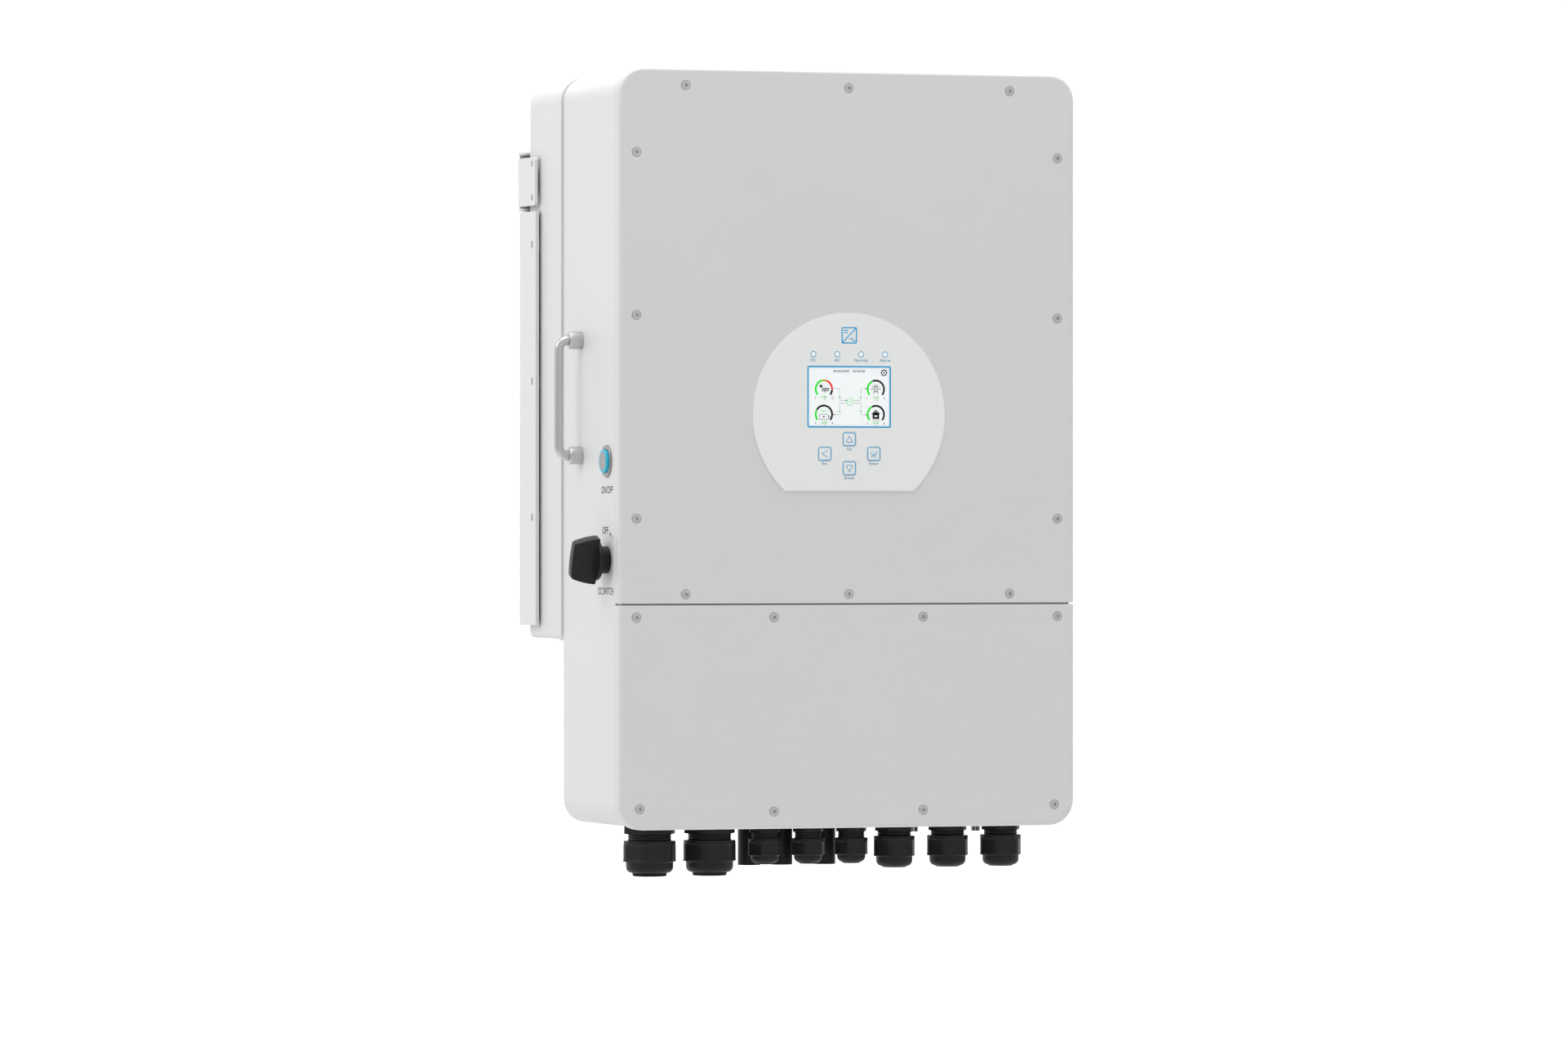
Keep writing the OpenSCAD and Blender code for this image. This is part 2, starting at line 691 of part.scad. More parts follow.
// clear rods that carry the light of the four lamps to the overlay
module light_pipes() at_wall() color("white") for (x = led_x)
    translate([x, -overlay_t - 0.1, led_z]) rotate([-90, 0, 0]) {
        cylinder(h = board_y + overlay_t + 0.1, r = led_r - 0.1);
        translate([0, 0, overlay_t + 0.1 + cover_t]) cylinder(h = 1, r = led_r + 0.8);
    }

// key cap with its stem, over a dome on the display board
module key_cap(p) {
    cap_top = -overlay_t - 0.2;
    upright() translate([p[0], p[1], cap_top]) linear_extrude(1.2) pill(key_w, key_w, 1.9);
    rods([p], stem_r, cap_top + 1, board_y - 1.3);
}

module key_up() at_wall() color("whitesmoke") key_cap(key_up_at);

module key_down() at_wall() color("whitesmoke") key_cap(key_down_at);

module key_esc() at_wall() color("whitesmoke") key_cap(key_esc_at);

module key_enter() at_wall() color("whitesmoke") key_cap(key_enter_at);

// ---- side controls ----

module power_button_bezel() at_wall() color("darkgray") on_left(control_y, button_z) difference() {
    union() {
        cylinder(h = bezel_h, r = bezel_r, $fn = 96);
        translate([0, 0, -barrel_len]) cylinder(h = barrel_len + 1, r = button_barrel_r);
    }
    translate([0, 0, -barrel_len + 3]) cylinder(h = barrel_len, r = button_bore, $fn = 96);
    translate([0, 0, -barrel_len - 1]) cylinder(h = 6, r = 3.4);
}

// the actuator: a skirt in the barrel, a raised centre and a guide stem
module power_button_cap() at_wall() color("gray") on_left(control_y, button_z) {
    translate([0, 0, -5]) cylinder(h = 6, r = button_r);
    cylinder(h = cap_face, r = ring_in);
    translate([0, 0, -barrel_len + 1]) cylinder(h = 20, r = 3);
}

module power_button_ring() at_wall() color("deepskyblue") on_left(control_y, button_z)
    translate([0, 0, 1]) difference() {
        cylinder(h = cap_face - 1, r = button_r, $fn = 96);
        translate([0, 0, -1]) cylinder(h = cap_face + 1, r = ring_in);
    }

module power_button_nut() at_wall() color("darkgray") on_left(control_y, button_z)
    translate([0, 0, -wall - 4]) difference() {
        cylinder(h = 4, r = across_corners(27) / 2, $fn = 6);
        translate([0, 0, -1]) cylinder(h = 6, r = button_barrel_r + 0.05);
    }

// compression spring round the stem, a swept helix
module power_button_spring() at_wall() color("silver") on_left(control_y, button_z)
    translate([0, 0, -barrel_len + 3.5]) helix(6.5, 0.5, 14.8, 5);

// helix of coil radius r and wire radius w, over height h in the given number of turns
module helix(r, w, h, turns) {
    steps = turns * 20;
    sides = 6;
    ring = function (k) let (a = 360 * turns * k / steps, z = w + (h - 2 * w) * k / steps)
        [for (i = [0:sides - 1]) let (b = 360 * i / sides, q = r + w * cos(b))
            [q * cos(a), q * sin(a), z + w * sin(b)]];
    polyhedron(
        points = [for (k = [0:steps]) each ring(k)],
        faces = [
            [for (i = [0:sides - 1]) i],
            for (k = [0:steps - 1]) for (i = [0:sides - 1]) let (j = (i + 1) % sides)
                [k * sides + i, (k + 1) * sides + i, (k + 1) * sides + j, k * sides + j],
            [for (i = [sides - 1:-1:0]) steps * sides + i],
        ]
    );
}

// rotary isolator behind the wall: a block with its terminals towards the middle of the case
module isolator_body() at_wall() color("dimgray") on_left(control_y + 1.5, knob_z) difference() {
    union() {
        translate([-24, -24, -wall - 46]) cube([48, 48, 46]);
        for (x = [-16, 0, 16]) translate([x - 6, -29, -wall - 40]) cube([12, 5.1, 12]);
    }
    translate([0, -1.5, -wall - 24]) cylinder(h = 40, r = shaft_r + 0.4);
}

module isolator_collar() at_wall() color("black") on_left(control_y, knob_z) difference() {
    union() {
        cylinder(h = collar_h, r = collar_r);
        translate([0, 0, -wall]) cylinder(h = wall + 1, r = 4.9);
    }
    translate([0, 0, -10]) cylinder(h = 30, r = shaft_bore);
}

// knob: a disc and a tapered grip across it
module isolator_knob() at_wall() color("black") on_left(control_y, knob_z)
    rotate([0, 0, -knob_tilt]) difference() {
        union() {
            translate([0, 0, knob_base]) cylinder(h = knob_disc - knob_base, r = disc_r);
            translate([0, grip_t / 2, 0]) rotate([90, 0, 0]) linear_extrude(grip_t) polygon([
                [-grip_base / 2, knob_base + 1], [grip_base / 2, knob_base + 1],
                [grip_tip / 2, knob_tip], [-grip_tip / 2, knob_tip],
            ]);
        }
        translate([0, 0, knob_base - 1]) cylinder(h = 13, r = shaft_r);
    }

module isolator_shaft() at_wall() color("silver") on_left(control_y, knob_z)
    translate([0, 0, -wall - 20]) cylinder(h = wall + 20 + knob_base + 12, r = shaft_r);

// ---- handles ----

// round bar with two bends; its ends stand in the ferrules against the case
module handle_bar() {
    out = handle_reach;
    leg = handle_z[1] - handle_z[0] - 2 * handle_bend;
    for (z = handle_z) on_left(handle_y, z) difference() {
        cylinder(h = out - handle_bend, r = rod_r);
        translate([0, 0, -1]) cylinder(h = 9, r = 2);
    }
    translate([-side_x - out, handle_y, handle_z[0] + handle_bend]) cylinder(h = leg, r = rod_r);
    translate([-side_x - out + handle_bend, handle_y, handle_z[0] + handle_bend])
        rotate([90, 0, 0]) rotate([0, 0, 180]) bend();
    translate([-side_x - out + handle_bend, handle_y, handle_z[1] - handle_bend])
        rotate([90, 0, 0]) rotate([0, 0, 90]) bend();
}

module bend() {
    rotate_extrude(angle = 90, $fn = 96) translate([handle_bend, 0]) circle(rod_r);
}

module handle_left() at_wall() color("darkgray") handle_bar();

module handle_right() at_wall() color("darkgray") mirror([1, 0, 0]) handle_bar();

module handle_ferrules() at_wall() color("darkgray") for (s = [0, 1]) mirror([s, 0, 0])
    for (z = handle_z) on_left(handle_y, z) difference() {
        cylinder(h = ferrule_h, r = ferrule_r);
        translate([0, 0, -1]) cylinder(h = ferrule_h + 2, r = rod_r + 0.05);
    }

module handle_screws() at_wall() color("silver") for (s = [0, 1]) mirror([s, 0, 0])
    for (z = handle_z) on_left(handle_y, z) translate([0, 0, -wall]) pan_screw(1.95, 4.5, wall + 7);

// ---- cable entries ----

// everything in a gland is drawn from a size list, hanging from height 0 of the covers
module gland_body(g) {
    difference() {
        union() {
            translate([0, 0, collar_end]) cylinder(h = floor_z - collar_end,
                                                   r = across_corners(g[1]) / 2 * 0.93, $fn = 6);
            translate([0, 0, g[3] - 16]) cylinder(h = collar_end - g[3] + 17, r = g[2] - 0.1);
            translate([0, 0, floor_z - 1]) cylinder(h = 14, r = g[0]);
            for (z = [collar_end - 2:-2:g[3] + 1]) translate([0, 0, z - 0.5])
                cylinder(h = 0.9, r = g[2] + 0.7);
        }
        translate([0, 0, g[3] - 30]) cylinder(h = 60, r = g[7] - 1.5);
    }
}

module gland_nut(g) {
    flange_h = 3;
    dome_r = 5;
    tip_r = g[4] / 2 - 1;
    difference() {
        union() {
            translate([0, 0, g[3] - flange_h]) cylinder(h = flange_h, r = g[4] / 2 + 1);
            intersection() {
                translate([0, 0, g[5]]) cylinder(h = g[3] - g[5] - 1, r = across_corners(g[4]) / 2,
                                                $fn = 6);
                translate([0, 0, g[5]]) cylinder(h = 40, r = g[4] / 2 + 1.6);
            }
            translate([0, 0, g[6]]) rotate_extrude($fn = 96) {
                square([tip_r - dome_r, g[5] - g[6] + 1]);
                translate([0, dome_r]) square([tip_r, g[5] - g[6] - dome_r + 1]);
                translate([tip_r - dome_r, dome_r]) circle(dome_r);
            }
        }
        translate([0, 0, g[3] - 17]) cylinder(h = 30, r = g[2] + 0.8);
        translate([0, 0, g[6] - 1]) cylinder(h = 40, r = g[7]);
    }
}

module gland_seal(g) {
    difference() {
        union() {
            translate([0, 0, g[9]]) cylinder(h = g[3] - 16.2 - g[9], r = g[7] - 0.1);
            translate([0, 0, g[9]]) cylinder(h = g[3] - 8 - g[9], r = g[7] - 1.6);
        }
        translate([0, 0, g[9] - 1]) cylinder(h = 60, r = g[8]);
    }
}

module along_row(places) {
    for (x = places) translate([x, gland_y, 0]) children();
}

module large_gland_bodies() at_wall() color("black") along_row(large_x) gland_body(LARGE);

module large_gland_nuts() at_wall() color("black") along_row(large_x) gland_nut(LARGE);

module large_gland_seals() at_wall() color("black") along_row(large_x) gland_seal(LARGE);

module medium_gland_bodies() at_wall() color("black") along_row(medium_x) gland_body(MEDIUM);

module medium_gland_nuts() at_wall() color("black") along_row(medium_x) gland_nut(MEDIUM);

module medium_gland_seals() at_wall() color("black") along_row(medium_x) gland_seal(MEDIUM);

module small_gland_bodies() at_wall() color("black") along_row(small_x) gland_body(SMALL);

module small_gland_nuts() at_wall() color("black") along_row(small_x) gland_nut(SMALL);

module small_gland_seals() at_wall() color("black") along_row(small_x) gland_seal(SMALL);

// locknuts inside the wiring compartment
module gland_locknuts() at_wall() color("dimgray") {
    along_row(large_x) locknut(LARGE);
    along_row(medium_x) locknut(MEDIUM);
    along_row(small_x) locknut(SMALL);
}

module locknut(g) {
    translate([0, 0, floor_in]) difference() {
        cylinder(h = locknut_h, r = across_corners(2 * g[0] + 7) / 2, $fn = 6);
        translate([0, 0, -1]) cylinder(h = locknut_h + 2, r = g[0] + 0.05);
    }
}

// round panel socket with a flange under the floor, a nut above it and a recess for its plug
module panel_socket(pin) {
    difference() {
        union() {
            translate([0, 0, port_end]) cylinder(h = floor_z - port_end - 4, r = port_r);
            translate([0, 0, floor_z - 5]) cylinder(h = 5, r = port_r + 1.8);
            translate([0, 0, floor_z - 1]) cylinder(h = 16, r = 7);
            translate([0, 0, floor_in]) cylinder(h = 5, r = across_corners(17) / 2, $fn = 6);
        }
        translate([0, 0, port_end - 1]) cylinder(h = 21, r = 6);
    }
    translate([0, 0, port_end + 4]) cylinder(h = 20, r = pin);
}

module pv_sockets() at_wall() color("black")
    for (x = port_x) for (y = [port_y, port_y + port_row]) translate([x, y, 0]) panel_socket(1.5);

module logger_port() at_wall() color("black") translate([logger_x, port_y, 0]) panel_socket(3);

module earth_bolts() at_wall() color("silver") for (x = earth_x)
    hanging(x, port_y, floor_z) difference() {
        union() {
            cylinder(h = 2, r = 5.5);
            translate([0, 0, 1]) cylinder(h = 8, r = 4.2);
            translate([0, 0, -14]) cylinder(h = 16, r = 2.5);
            translate([0, 0, -wall - 4]) cylinder(h = 4, r = across_corners(8) / 2, $fn = 6);
        }
        translate([0, 0, 6]) cylinder(h = 4, r = across_corners(4) / 2, $fn = 6);
    }

// ---- electronics ----

// main board with its relays and driver transformers, soldered over the power modules
module power_board() at_wall() color("seagreen") {
    slab(-158, 158, main_board_y, main_board_y + 2, 224, 586);
    for (x = [-140:34:-38]) slab(x, x + 28, main_board_y - 22, main_board_y + 0.5, 230, 252);
    for (x = [38:34:140]) slab(x - 28 + 22, x + 22, main_board_y - 22, main_board_y + 0.5, 230, 252);
    for (x = [-60, -20, 20, 60]) slab(x - 11, x + 11, main_board_y - 18, main_board_y + 0.5, 372, 392);
}

module control_board() at_wall() color("darkgreen") {
    slab(-135, 135, 62, 63.6, 305, 555);
    slab(-20, 20, 58, 62.5, 440, 480);
    slab(-100, -60, 56, 62.5, 500, 520);
    slab(60, 120, 50, 62.5, 316, 330);
    for (x = [-90:26:-38]) slab(x, x + 14, 50, 62.5, 316, 332);
}

module bus_capacitors() at_wall() color("midnightblue")
    rods([for (x = [-126:36:126]) each [for (z = [545, 508]) [x, z]]], 16, 86, main_board_y);

// potted chokes: square cans with a coil in each
module inductors() at_wall() color("peru") for (x = [-100, 0, 100])
    translate([x, 92, 315]) {
        difference() {
            slab(-42, 42, 0, main_board_y - 92, -42, 42);
            slab(-38, 38, -1, 40, -38, 38);
        }
        translate([0, 23, 0]) rotate([90, 0, 0]) rotate_extrude() translate([22, -17])
            square([13, 34]);
        rods([[0, 0]], 4, 3, 41);
    }

module power_modules() at_wall() color("black") for (x = [-120, -40, 40, 120])
    for (z = [250, 350, 450, 550])
        slab(x - 24, x + 24, main_board_y + 2, housing_d, z - 15, z + 15);

// terminals in the wiring compartment: battery studs, two AC blocks and a signal strip
module terminal_blocks() at_wall() color("darkgreen") {
    for (x = [-158, -118]) {
        slab(x - 16, x + 16, 118, housing_d - wall, 92, 130);
        rods([[x, 111]], 4, 104, 119);
    }
    for (x = [30, 130]) difference() {
        slab(x - 42, x + 42, 112, housing_d - wall, 88, 132);
        for (k = [-32:16:32]) {
            rods([[x + k, 120]], 4, 100, 130);
            translate([x + k, 130, 80]) cylinder(h = 24, r = 4.5);
        }
    }
    slab(-90, -22, 130, housing_d - wall, 96, 116);
}

housing();
upper_cover();
lower_cover();
upper_gasket();
lower_gasket();
upper_cover_screws();
lower_cover_screws();
divider_plate();
heat_sink();
rear_shroud();
rear_shroud_screws();
back_plate();
hang_hooks();
rear_fixing_screws();
wall_bracket();
fan_frames();
fan_rotor_left();
fan_rotor_right();
display_overlay();
display_window();
display_module();
display_board();
board_standoffs();
light_pipes();
key_up();
key_down();
key_esc();
key_enter();
power_button_bezel();
power_button_cap();
power_button_ring();
power_button_nut();
power_button_spring();
isolator_body();
isolator_collar();
isolator_knob();
isolator_shaft();
handle_left();
handle_right();
handle_ferrules();
handle_screws();
large_gland_bodies();
large_gland_nuts();
large_gland_seals();
medium_gland_bodies();
medium_gland_nuts();
medium_gland_seals();
small_gland_bodies();
small_gland_nuts();
small_gland_seals();
gland_locknuts();
pv_sockets();
logger_port();
earth_bolts();
power_board();
control_board();
bus_capacitors();
inductors();
power_modules();
terminal_blocks();
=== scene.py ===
"""Wall-hung hybrid inverter: white metal case on a wall bracket, with its display, keys, side
switches, handles and cable glands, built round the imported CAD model."""

import math

import bmesh
import bpy
from mathutils import Matrix, Vector


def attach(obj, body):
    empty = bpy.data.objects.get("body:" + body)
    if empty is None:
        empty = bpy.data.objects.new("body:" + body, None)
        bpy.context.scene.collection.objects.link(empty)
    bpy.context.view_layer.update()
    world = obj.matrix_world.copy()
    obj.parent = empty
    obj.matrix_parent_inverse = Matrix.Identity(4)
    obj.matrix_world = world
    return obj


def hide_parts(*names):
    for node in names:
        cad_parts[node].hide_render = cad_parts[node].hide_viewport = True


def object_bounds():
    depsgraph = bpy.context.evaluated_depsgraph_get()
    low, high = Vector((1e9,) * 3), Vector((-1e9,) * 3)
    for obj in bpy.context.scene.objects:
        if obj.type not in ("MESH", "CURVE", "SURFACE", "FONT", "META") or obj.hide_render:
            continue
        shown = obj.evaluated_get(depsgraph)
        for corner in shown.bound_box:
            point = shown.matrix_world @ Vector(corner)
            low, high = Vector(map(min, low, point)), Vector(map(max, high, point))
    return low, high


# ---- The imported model, and the camera in front of it ----
# The case hangs on the wall plane, with the origin in the middle of the wall bracket's holes. The
# camera stands well back and to the left, about level with the case, behind a long lens.
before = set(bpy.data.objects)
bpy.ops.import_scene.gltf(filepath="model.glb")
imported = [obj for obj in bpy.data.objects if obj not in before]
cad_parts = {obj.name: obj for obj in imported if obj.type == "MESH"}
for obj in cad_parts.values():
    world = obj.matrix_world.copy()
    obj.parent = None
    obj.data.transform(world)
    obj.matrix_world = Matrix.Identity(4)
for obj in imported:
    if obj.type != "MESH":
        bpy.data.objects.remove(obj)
cad_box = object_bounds()
camera = bpy.data.objects.new("camera", bpy.data.cameras.new("camera"))
camera.data.sensor_width = 36.0
camera.data.lens = 194.07
camera.data.shift_y = 0.0012
camera.data.clip_end = 60.0
camera.location = (-2.4482, -6.9485, -0.2944)
camera.rotation_euler = (math.radians(90.0), 0.0, math.radians(-19.664))
bpy.context.scene.collection.objects.link(camera)
bpy.context.scene.camera = camera
bpy.context.scene.view_settings.view_transform = "Standard"


# ---- Housing ----
# The case is a drawn aluminium box, powder-coated a light grey white in a fine satin. Its rim
# carries the gaskets, its floor the glands, and its back is closed by the heat sink.


def wire(tree, kind, inputs=None, **settings):
    """Adds one shader node, sets it, and fills its sockets with values or with other sockets."""
    node = tree.nodes.new(kind)
    for key, value in settings.items():
        setattr(node, key, value)
    for key, value in (inputs or {}).items():
        if isinstance(value, bpy.types.NodeSocket):
            tree.links.new(value, node.inputs[key])
        else:
            node.inputs[key].default_value = value
    return node


def effect(name, inputs, outputs):
    """An empty node group with named inputs and outputs: (tree, its input node, its output node)."""
    tree = bpy.data.node_groups.new(name, "ShaderNodeTree")
    kinds = {float: "NodeSocketFloat", tuple: "NodeSocketVector"}
    for label, value in inputs.items():
        socket = tree.interface.new_socket(name=label, in_out="INPUT", socket_type=kinds[type(value)])
        socket.default_value = value
    for label, kind in outputs.items():
        tree.interface.new_socket(name=label, in_out="OUTPUT", socket_type=kind)
    return tree, tree.nodes.new("NodeGroupInput"), tree.nodes.new("NodeGroupOutput")


def surface_grain():
    """Fine relief and slow patches. Stretch draws both out along an axis, as brushing does."""
    tree, given, out = effect(
        "surface grain",
        {"Grain Scale": 700.0, "Patch Scale": 9.0, "Low": 0.4, "High": 0.5, "Stretch": (1.0, 1.0, 1.0)},
        {"Height": "NodeSocketFloat", "Patches": "NodeSocketFloat", "Roughness": "NodeSocketFloat"},
    )
    where = wire(tree, "ShaderNodeTexCoord").outputs["Object"]
    drawn = wire(tree, "ShaderNodeVectorMath", {0: where, 1: given.outputs["Stretch"]}, operation="MULTIPLY")
    fine = wire(tree, "ShaderNodeTexNoise", {
        "Vector": drawn.outputs[0], "Scale": given.outputs["Grain Scale"], "Detail": 3.0, "Roughness": 0.55})
    slow = wire(tree, "ShaderNodeTexNoise", {
        "Vector": drawn.outputs[0], "Scale": given.outputs["Patch Scale"], "Detail": 5.0, "Roughness": 0.6})
    spread = wire(tree, "ShaderNodeMapRange",
                  {"Value": slow.outputs["Fac"], "From Min": 0.3, "From Max": 0.7})
    blend = wire(tree, "ShaderNodeMath", {0: spread.outputs[0], 1: fine.outputs["Fac"]}, operation="ADD")
    share = wire(tree, "ShaderNodeMath", {0: blend.outputs[0], 1: 0.5}, operation="MULTIPLY")
    rough = wire(tree, "ShaderNodeMapRange",
                 {"Value": share.outputs[0], "To Min": given.outputs["Low"], "To Max": given.outputs["High"]})
    for label, socket in (("Height", fine.outputs["Fac"]), ("Patches", spread.outputs[0]),
                          ("Roughness", rough.outputs[0])):
        tree.links.new(socket, out.inputs[label])
    return tree


def soft_edge():
    """The normal of an edge broken by the given radius, and a mask of where that edge has worn."""
    tree, given, out = effect(
        "soft edge", {"Radius": 0.0004, "Wear": 0.5, "Breakup": 260.0},
        {"Normal": "NodeSocketVector", "Mask": "NodeSocketFloat"},
    )
    rounded = wire(tree, "ShaderNodeBevel", {"Radius": given.outputs["Radius"]}, samples=6)
    flat = wire(tree, "ShaderNodeNewGeometry").outputs["Normal"]
    along = wire(tree, "ShaderNodeVectorMath", {0: rounded.outputs[0], 1: flat}, operation="DOT_PRODUCT")
    turned_off = wire(tree, "ShaderNodeMapRange",
                      {"Value": along.outputs["Value"], "From Min": 0.995, "From Max": 0.8})
    where = wire(tree, "ShaderNodeTexCoord").outputs["Object"]
    broken = wire(tree, "ShaderNodeTexNoise",
                  {"Vector": where, "Scale": given.outputs["Breakup"], "Detail": 4.0})
    patchy = wire(tree, "ShaderNodeMapRange",
                  {"Value": broken.outputs["Fac"], "From Min": 0.42, "From Max": 0.62})
    both = wire(tree, "ShaderNodeMath",
                {0: turned_off.outputs[0], 1: patchy.outputs[0]}, operation="MULTIPLY")
    worn = wire(tree, "ShaderNodeMath", {0: both.outputs[0], 1: given.outputs["Wear"]}, operation="MULTIPLY")
    tree.links.new(rounded.outputs[0], out.inputs["Normal"])
    tree.links.new(worn.outputs[0], out.inputs["Mask"])
    return tree


def settled_dust():
    """A thin film of dust that lies on faces that look up."""
    tree, given, out = effect("settled dust", {"Amount": 0.1}, {"Mask": "NodeSocketFloat"})
    flat = wire(tree, "ShaderNodeNewGeometry").outputs["Normal"]
    up = wire(tree, "ShaderNodeSeparateXYZ", {"Vector": flat}).outputs["Z"]
    lying = wire(tree, "ShaderNodeMapRange", {"Value": up, "From Min": 0.35, "From Max": 1.0})
    where = wire(tree, "ShaderNodeTexCoord").outputs["Object"]
    drift = wire(tree, "ShaderNodeTexNoise",
                 {"Vector": where, "Scale": 45.0, "Detail": 6.0, "Roughness": 0.7})
    thick = wire(tree, "ShaderNodeMath", {0: lying.outputs[0], 1: drift.outputs["Fac"]}, operation="MULTIPLY")
    film = wire(tree, "ShaderNodeMath",
                {0: thick.outputs[0], 1: given.outputs["Amount"]}, operation="MULTIPLY")
    tree.links.new(film.outputs[0], out.inputs["Mask"])
    return tree


GRAIN, EDGE, DUST = surface_grain(), soft_edge(), settled_dust()


def mixed(tree, share, under, over):
    """Colour over laid on colour under by a share."""
    node = wire(tree, "ShaderNodeMix", data_type="RGBA")
    for socket, value in ((node.inputs[0], share), (node.inputs[6], under), (node.inputs[7], over)):
        if isinstance(value, bpy.types.NodeSocket):
            tree.links.new(value, socket)
        else:
            socket.default_value = value
    return node.outputs[2]


def finish(name, colour, rough, *, deep=0.93, metal=0.0, coat=0.0, shine=0.5, grain=700.0, relief=0.00001,
           patch=9.0, stretch=(1.0, 1.0, 1.0), worn=None, wear=0.5, edge=0.0004, dust=0.1, glow=None):
    """A finish: its colour and the deeper shade of its patches, roughness from low to high, relief
    in metres, the colour of its worn edges with their radius, and the dust on its upper faces."""
    material = bpy.data.materials.new(name)
    material.use_nodes = True
    tree = material.node_tree
    shader = tree.nodes["Principled BSDF"]
    shader.inputs["Metallic"].default_value = metal
    shader.inputs["Coat Weight"].default_value = coat
    shader.inputs["Specular IOR Level"].default_value = shine
    full = (*colour, 1.0)
    dark = (*(c * deep for c in colour), 1.0)
    grained = wire(tree, "ShaderNodeGroup", node_tree=GRAIN)
    for key, value in (("Grain Scale", grain), ("Patch Scale", patch), ("Low", rough[0]), ("High", rough[1]),
                       ("Stretch", stretch)):
        grained.inputs[key].default_value = value
    edged = wire(tree, "ShaderNodeGroup", node_tree=EDGE)
    edged.inputs["Radius"].default_value = edge
    edged.inputs["Wear"].default_value = wear if worn else 0.0
    dusty = wire(tree, "ShaderNodeGroup", node_tree=DUST)
    dusty.inputs["Amount"].default_value = dust
    base = mixed(tree, grained.outputs["Patches"], dark, full)
    base = mixed(tree, edged.outputs["Mask"], base, (*(worn or colour), 1.0))
    base = mixed(tree, dusty.outputs["Mask"], base, (0.62, 0.6, 0.56, 1.0))
    tree.links.new(base, shader.inputs["Base Color"])
    tree.links.new(grained.outputs["Roughness"], shader.inputs["Roughness"])
    bump = wire(tree, "ShaderNodeBump", {
        "Strength": 1.0, "Distance": relief, "Height": grained.outputs["Height"],
        "Normal": edged.outputs["Normal"]})
    tree.links.new(bump.outputs[0], shader.inputs["Normal"])
    if glow:
        tree.links.new(base, shader.inputs["Emission Color"])
        shader.inputs["Emission Strength"].default_value = glow
    return material


def finished_as(material, *nodes):
    """Gives CAD nodes their finish."""
    for node in nodes:
        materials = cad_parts[node].data.materials
        materials.clear()
        materials.append(material)


CASE_PAINT = finish("case powder coat", (0.715, 0.72, 0.72), (0.42, 0.52), deep=0.985, grain=620.0,
                    relief=0.000012, patch=5.0, worn=(0.86, 0.86, 0.86), wear=0.35, edge=0.0006, dust=0.05)
finished_as(CASE_PAINT, "housing")

# ---- Inside the case ----
# Boards, power modules, capacitors, chokes and terminals sit behind the covers. They come from the
# CAD as they are, and get the finish of solder resist, epoxy, sleeves, cans and moulded plastic.
BOARD = finish("solder resist", (0.015, 0.11, 0.05), (0.25, 0.4), deep=0.7, coat=0.3, grain=900.0,
               relief=0.00002, patch=120.0, worn=(0.55, 0.5, 0.3), dust=0.15)
EPOXY = finish("module epoxy", (0.02, 0.02, 0.022), (0.5, 0.65), deep=0.7, grain=1400.0, relief=0.00001,
               worn=(0.1, 0.1, 0.1), dust=0.15)
SLEEVE = finish("capacitor sleeve", (0.015, 0.022, 0.07), (0.2, 0.32), deep=0.8, coat=0.4, grain=300.0,
                relief=0.000015, worn=(0.06, 0.07, 0.12), dust=0.15)
CAN = finish("choke can", (0.58, 0.58, 0.59), (0.3, 0.45), metal=1.0, grain=500.0, relief=0.00001,
             stretch=(1.0, 1.0, 0.05), worn=(0.8, 0.8, 0.8), dust=0.15)
TERMINAL = finish("terminal block", (0.03, 0.16, 0.06), (0.35, 0.5), deep=0.85, grain=900.0,
                  worn=(0.1, 0.3, 0.15), dust=0.15)
BRASS = finish("turned brass", (0.62, 0.42, 0.16), (0.2, 0.34), metal=1.0, grain=1500.0,
               stretch=(1.0, 0.05, 1.0), worn=(0.8, 0.62, 0.3), dust=0.05)
ZINC = finish("zinc-plated sheet", (0.62, 0.63, 0.64), (0.28, 0.45), metal=1.0, deep=0.8, grain=260.0,
              patch=160.0, worn=(0.75, 0.75, 0.76), dust=0.1)
ALUMINIUM = finish("extruded aluminium", (0.66, 0.67, 0.68), (0.3, 0.42), metal=1.0, grain=900.0,
                   stretch=(1.0, 1.0, 0.02), worn=(0.85, 0.85, 0.86), dust=0.1)
STEEL = finish("stainless steel", (0.56, 0.56, 0.57), (0.24, 0.36), metal=1.0, grain=1200.0,
               worn=(0.78, 0.78, 0.78), edge=0.0002, dust=0.05)
BLACK_PLASTIC = finish("black thermoplastic", (0.016, 0.016, 0.017), (0.36, 0.48), deep=0.8, shine=0.3,
                       grain=1100.0, relief=0.00002, worn=(0.06, 0.06, 0.06), edge=0.0003, dust=0.12)
finished_as(BOARD, "power_board", "control_board", "display_board")
finished_as(EPOXY, "power_modules")
finished_as(SLEEVE, "bus_capacitors")
finished_as(CAN, "inductors")
finished_as(TERMINAL, "terminal_blocks")
finished_as(BRASS, "board_standoffs")
finished_as(ZINC, "divider_plate")
finished_as(ALUMINIUM, "heat_sink")
finished_as(BLACK_PLASTIC, "isolator_body")

# ---- Rear shroud and fans ----
# A drawn cover over the fins, coated like the case, held by screws from inside the housing. Two
# box fans with black frames and rotors blow up through it from the grilles in its floor.
finished_as(CASE_PAINT, "rear_shroud")
finished_as(STEEL, "rear_shroud_screws")
finished_as(BLACK_PLASTIC, "fan_frames", "fan_rotor_left", "fan_rotor_right")

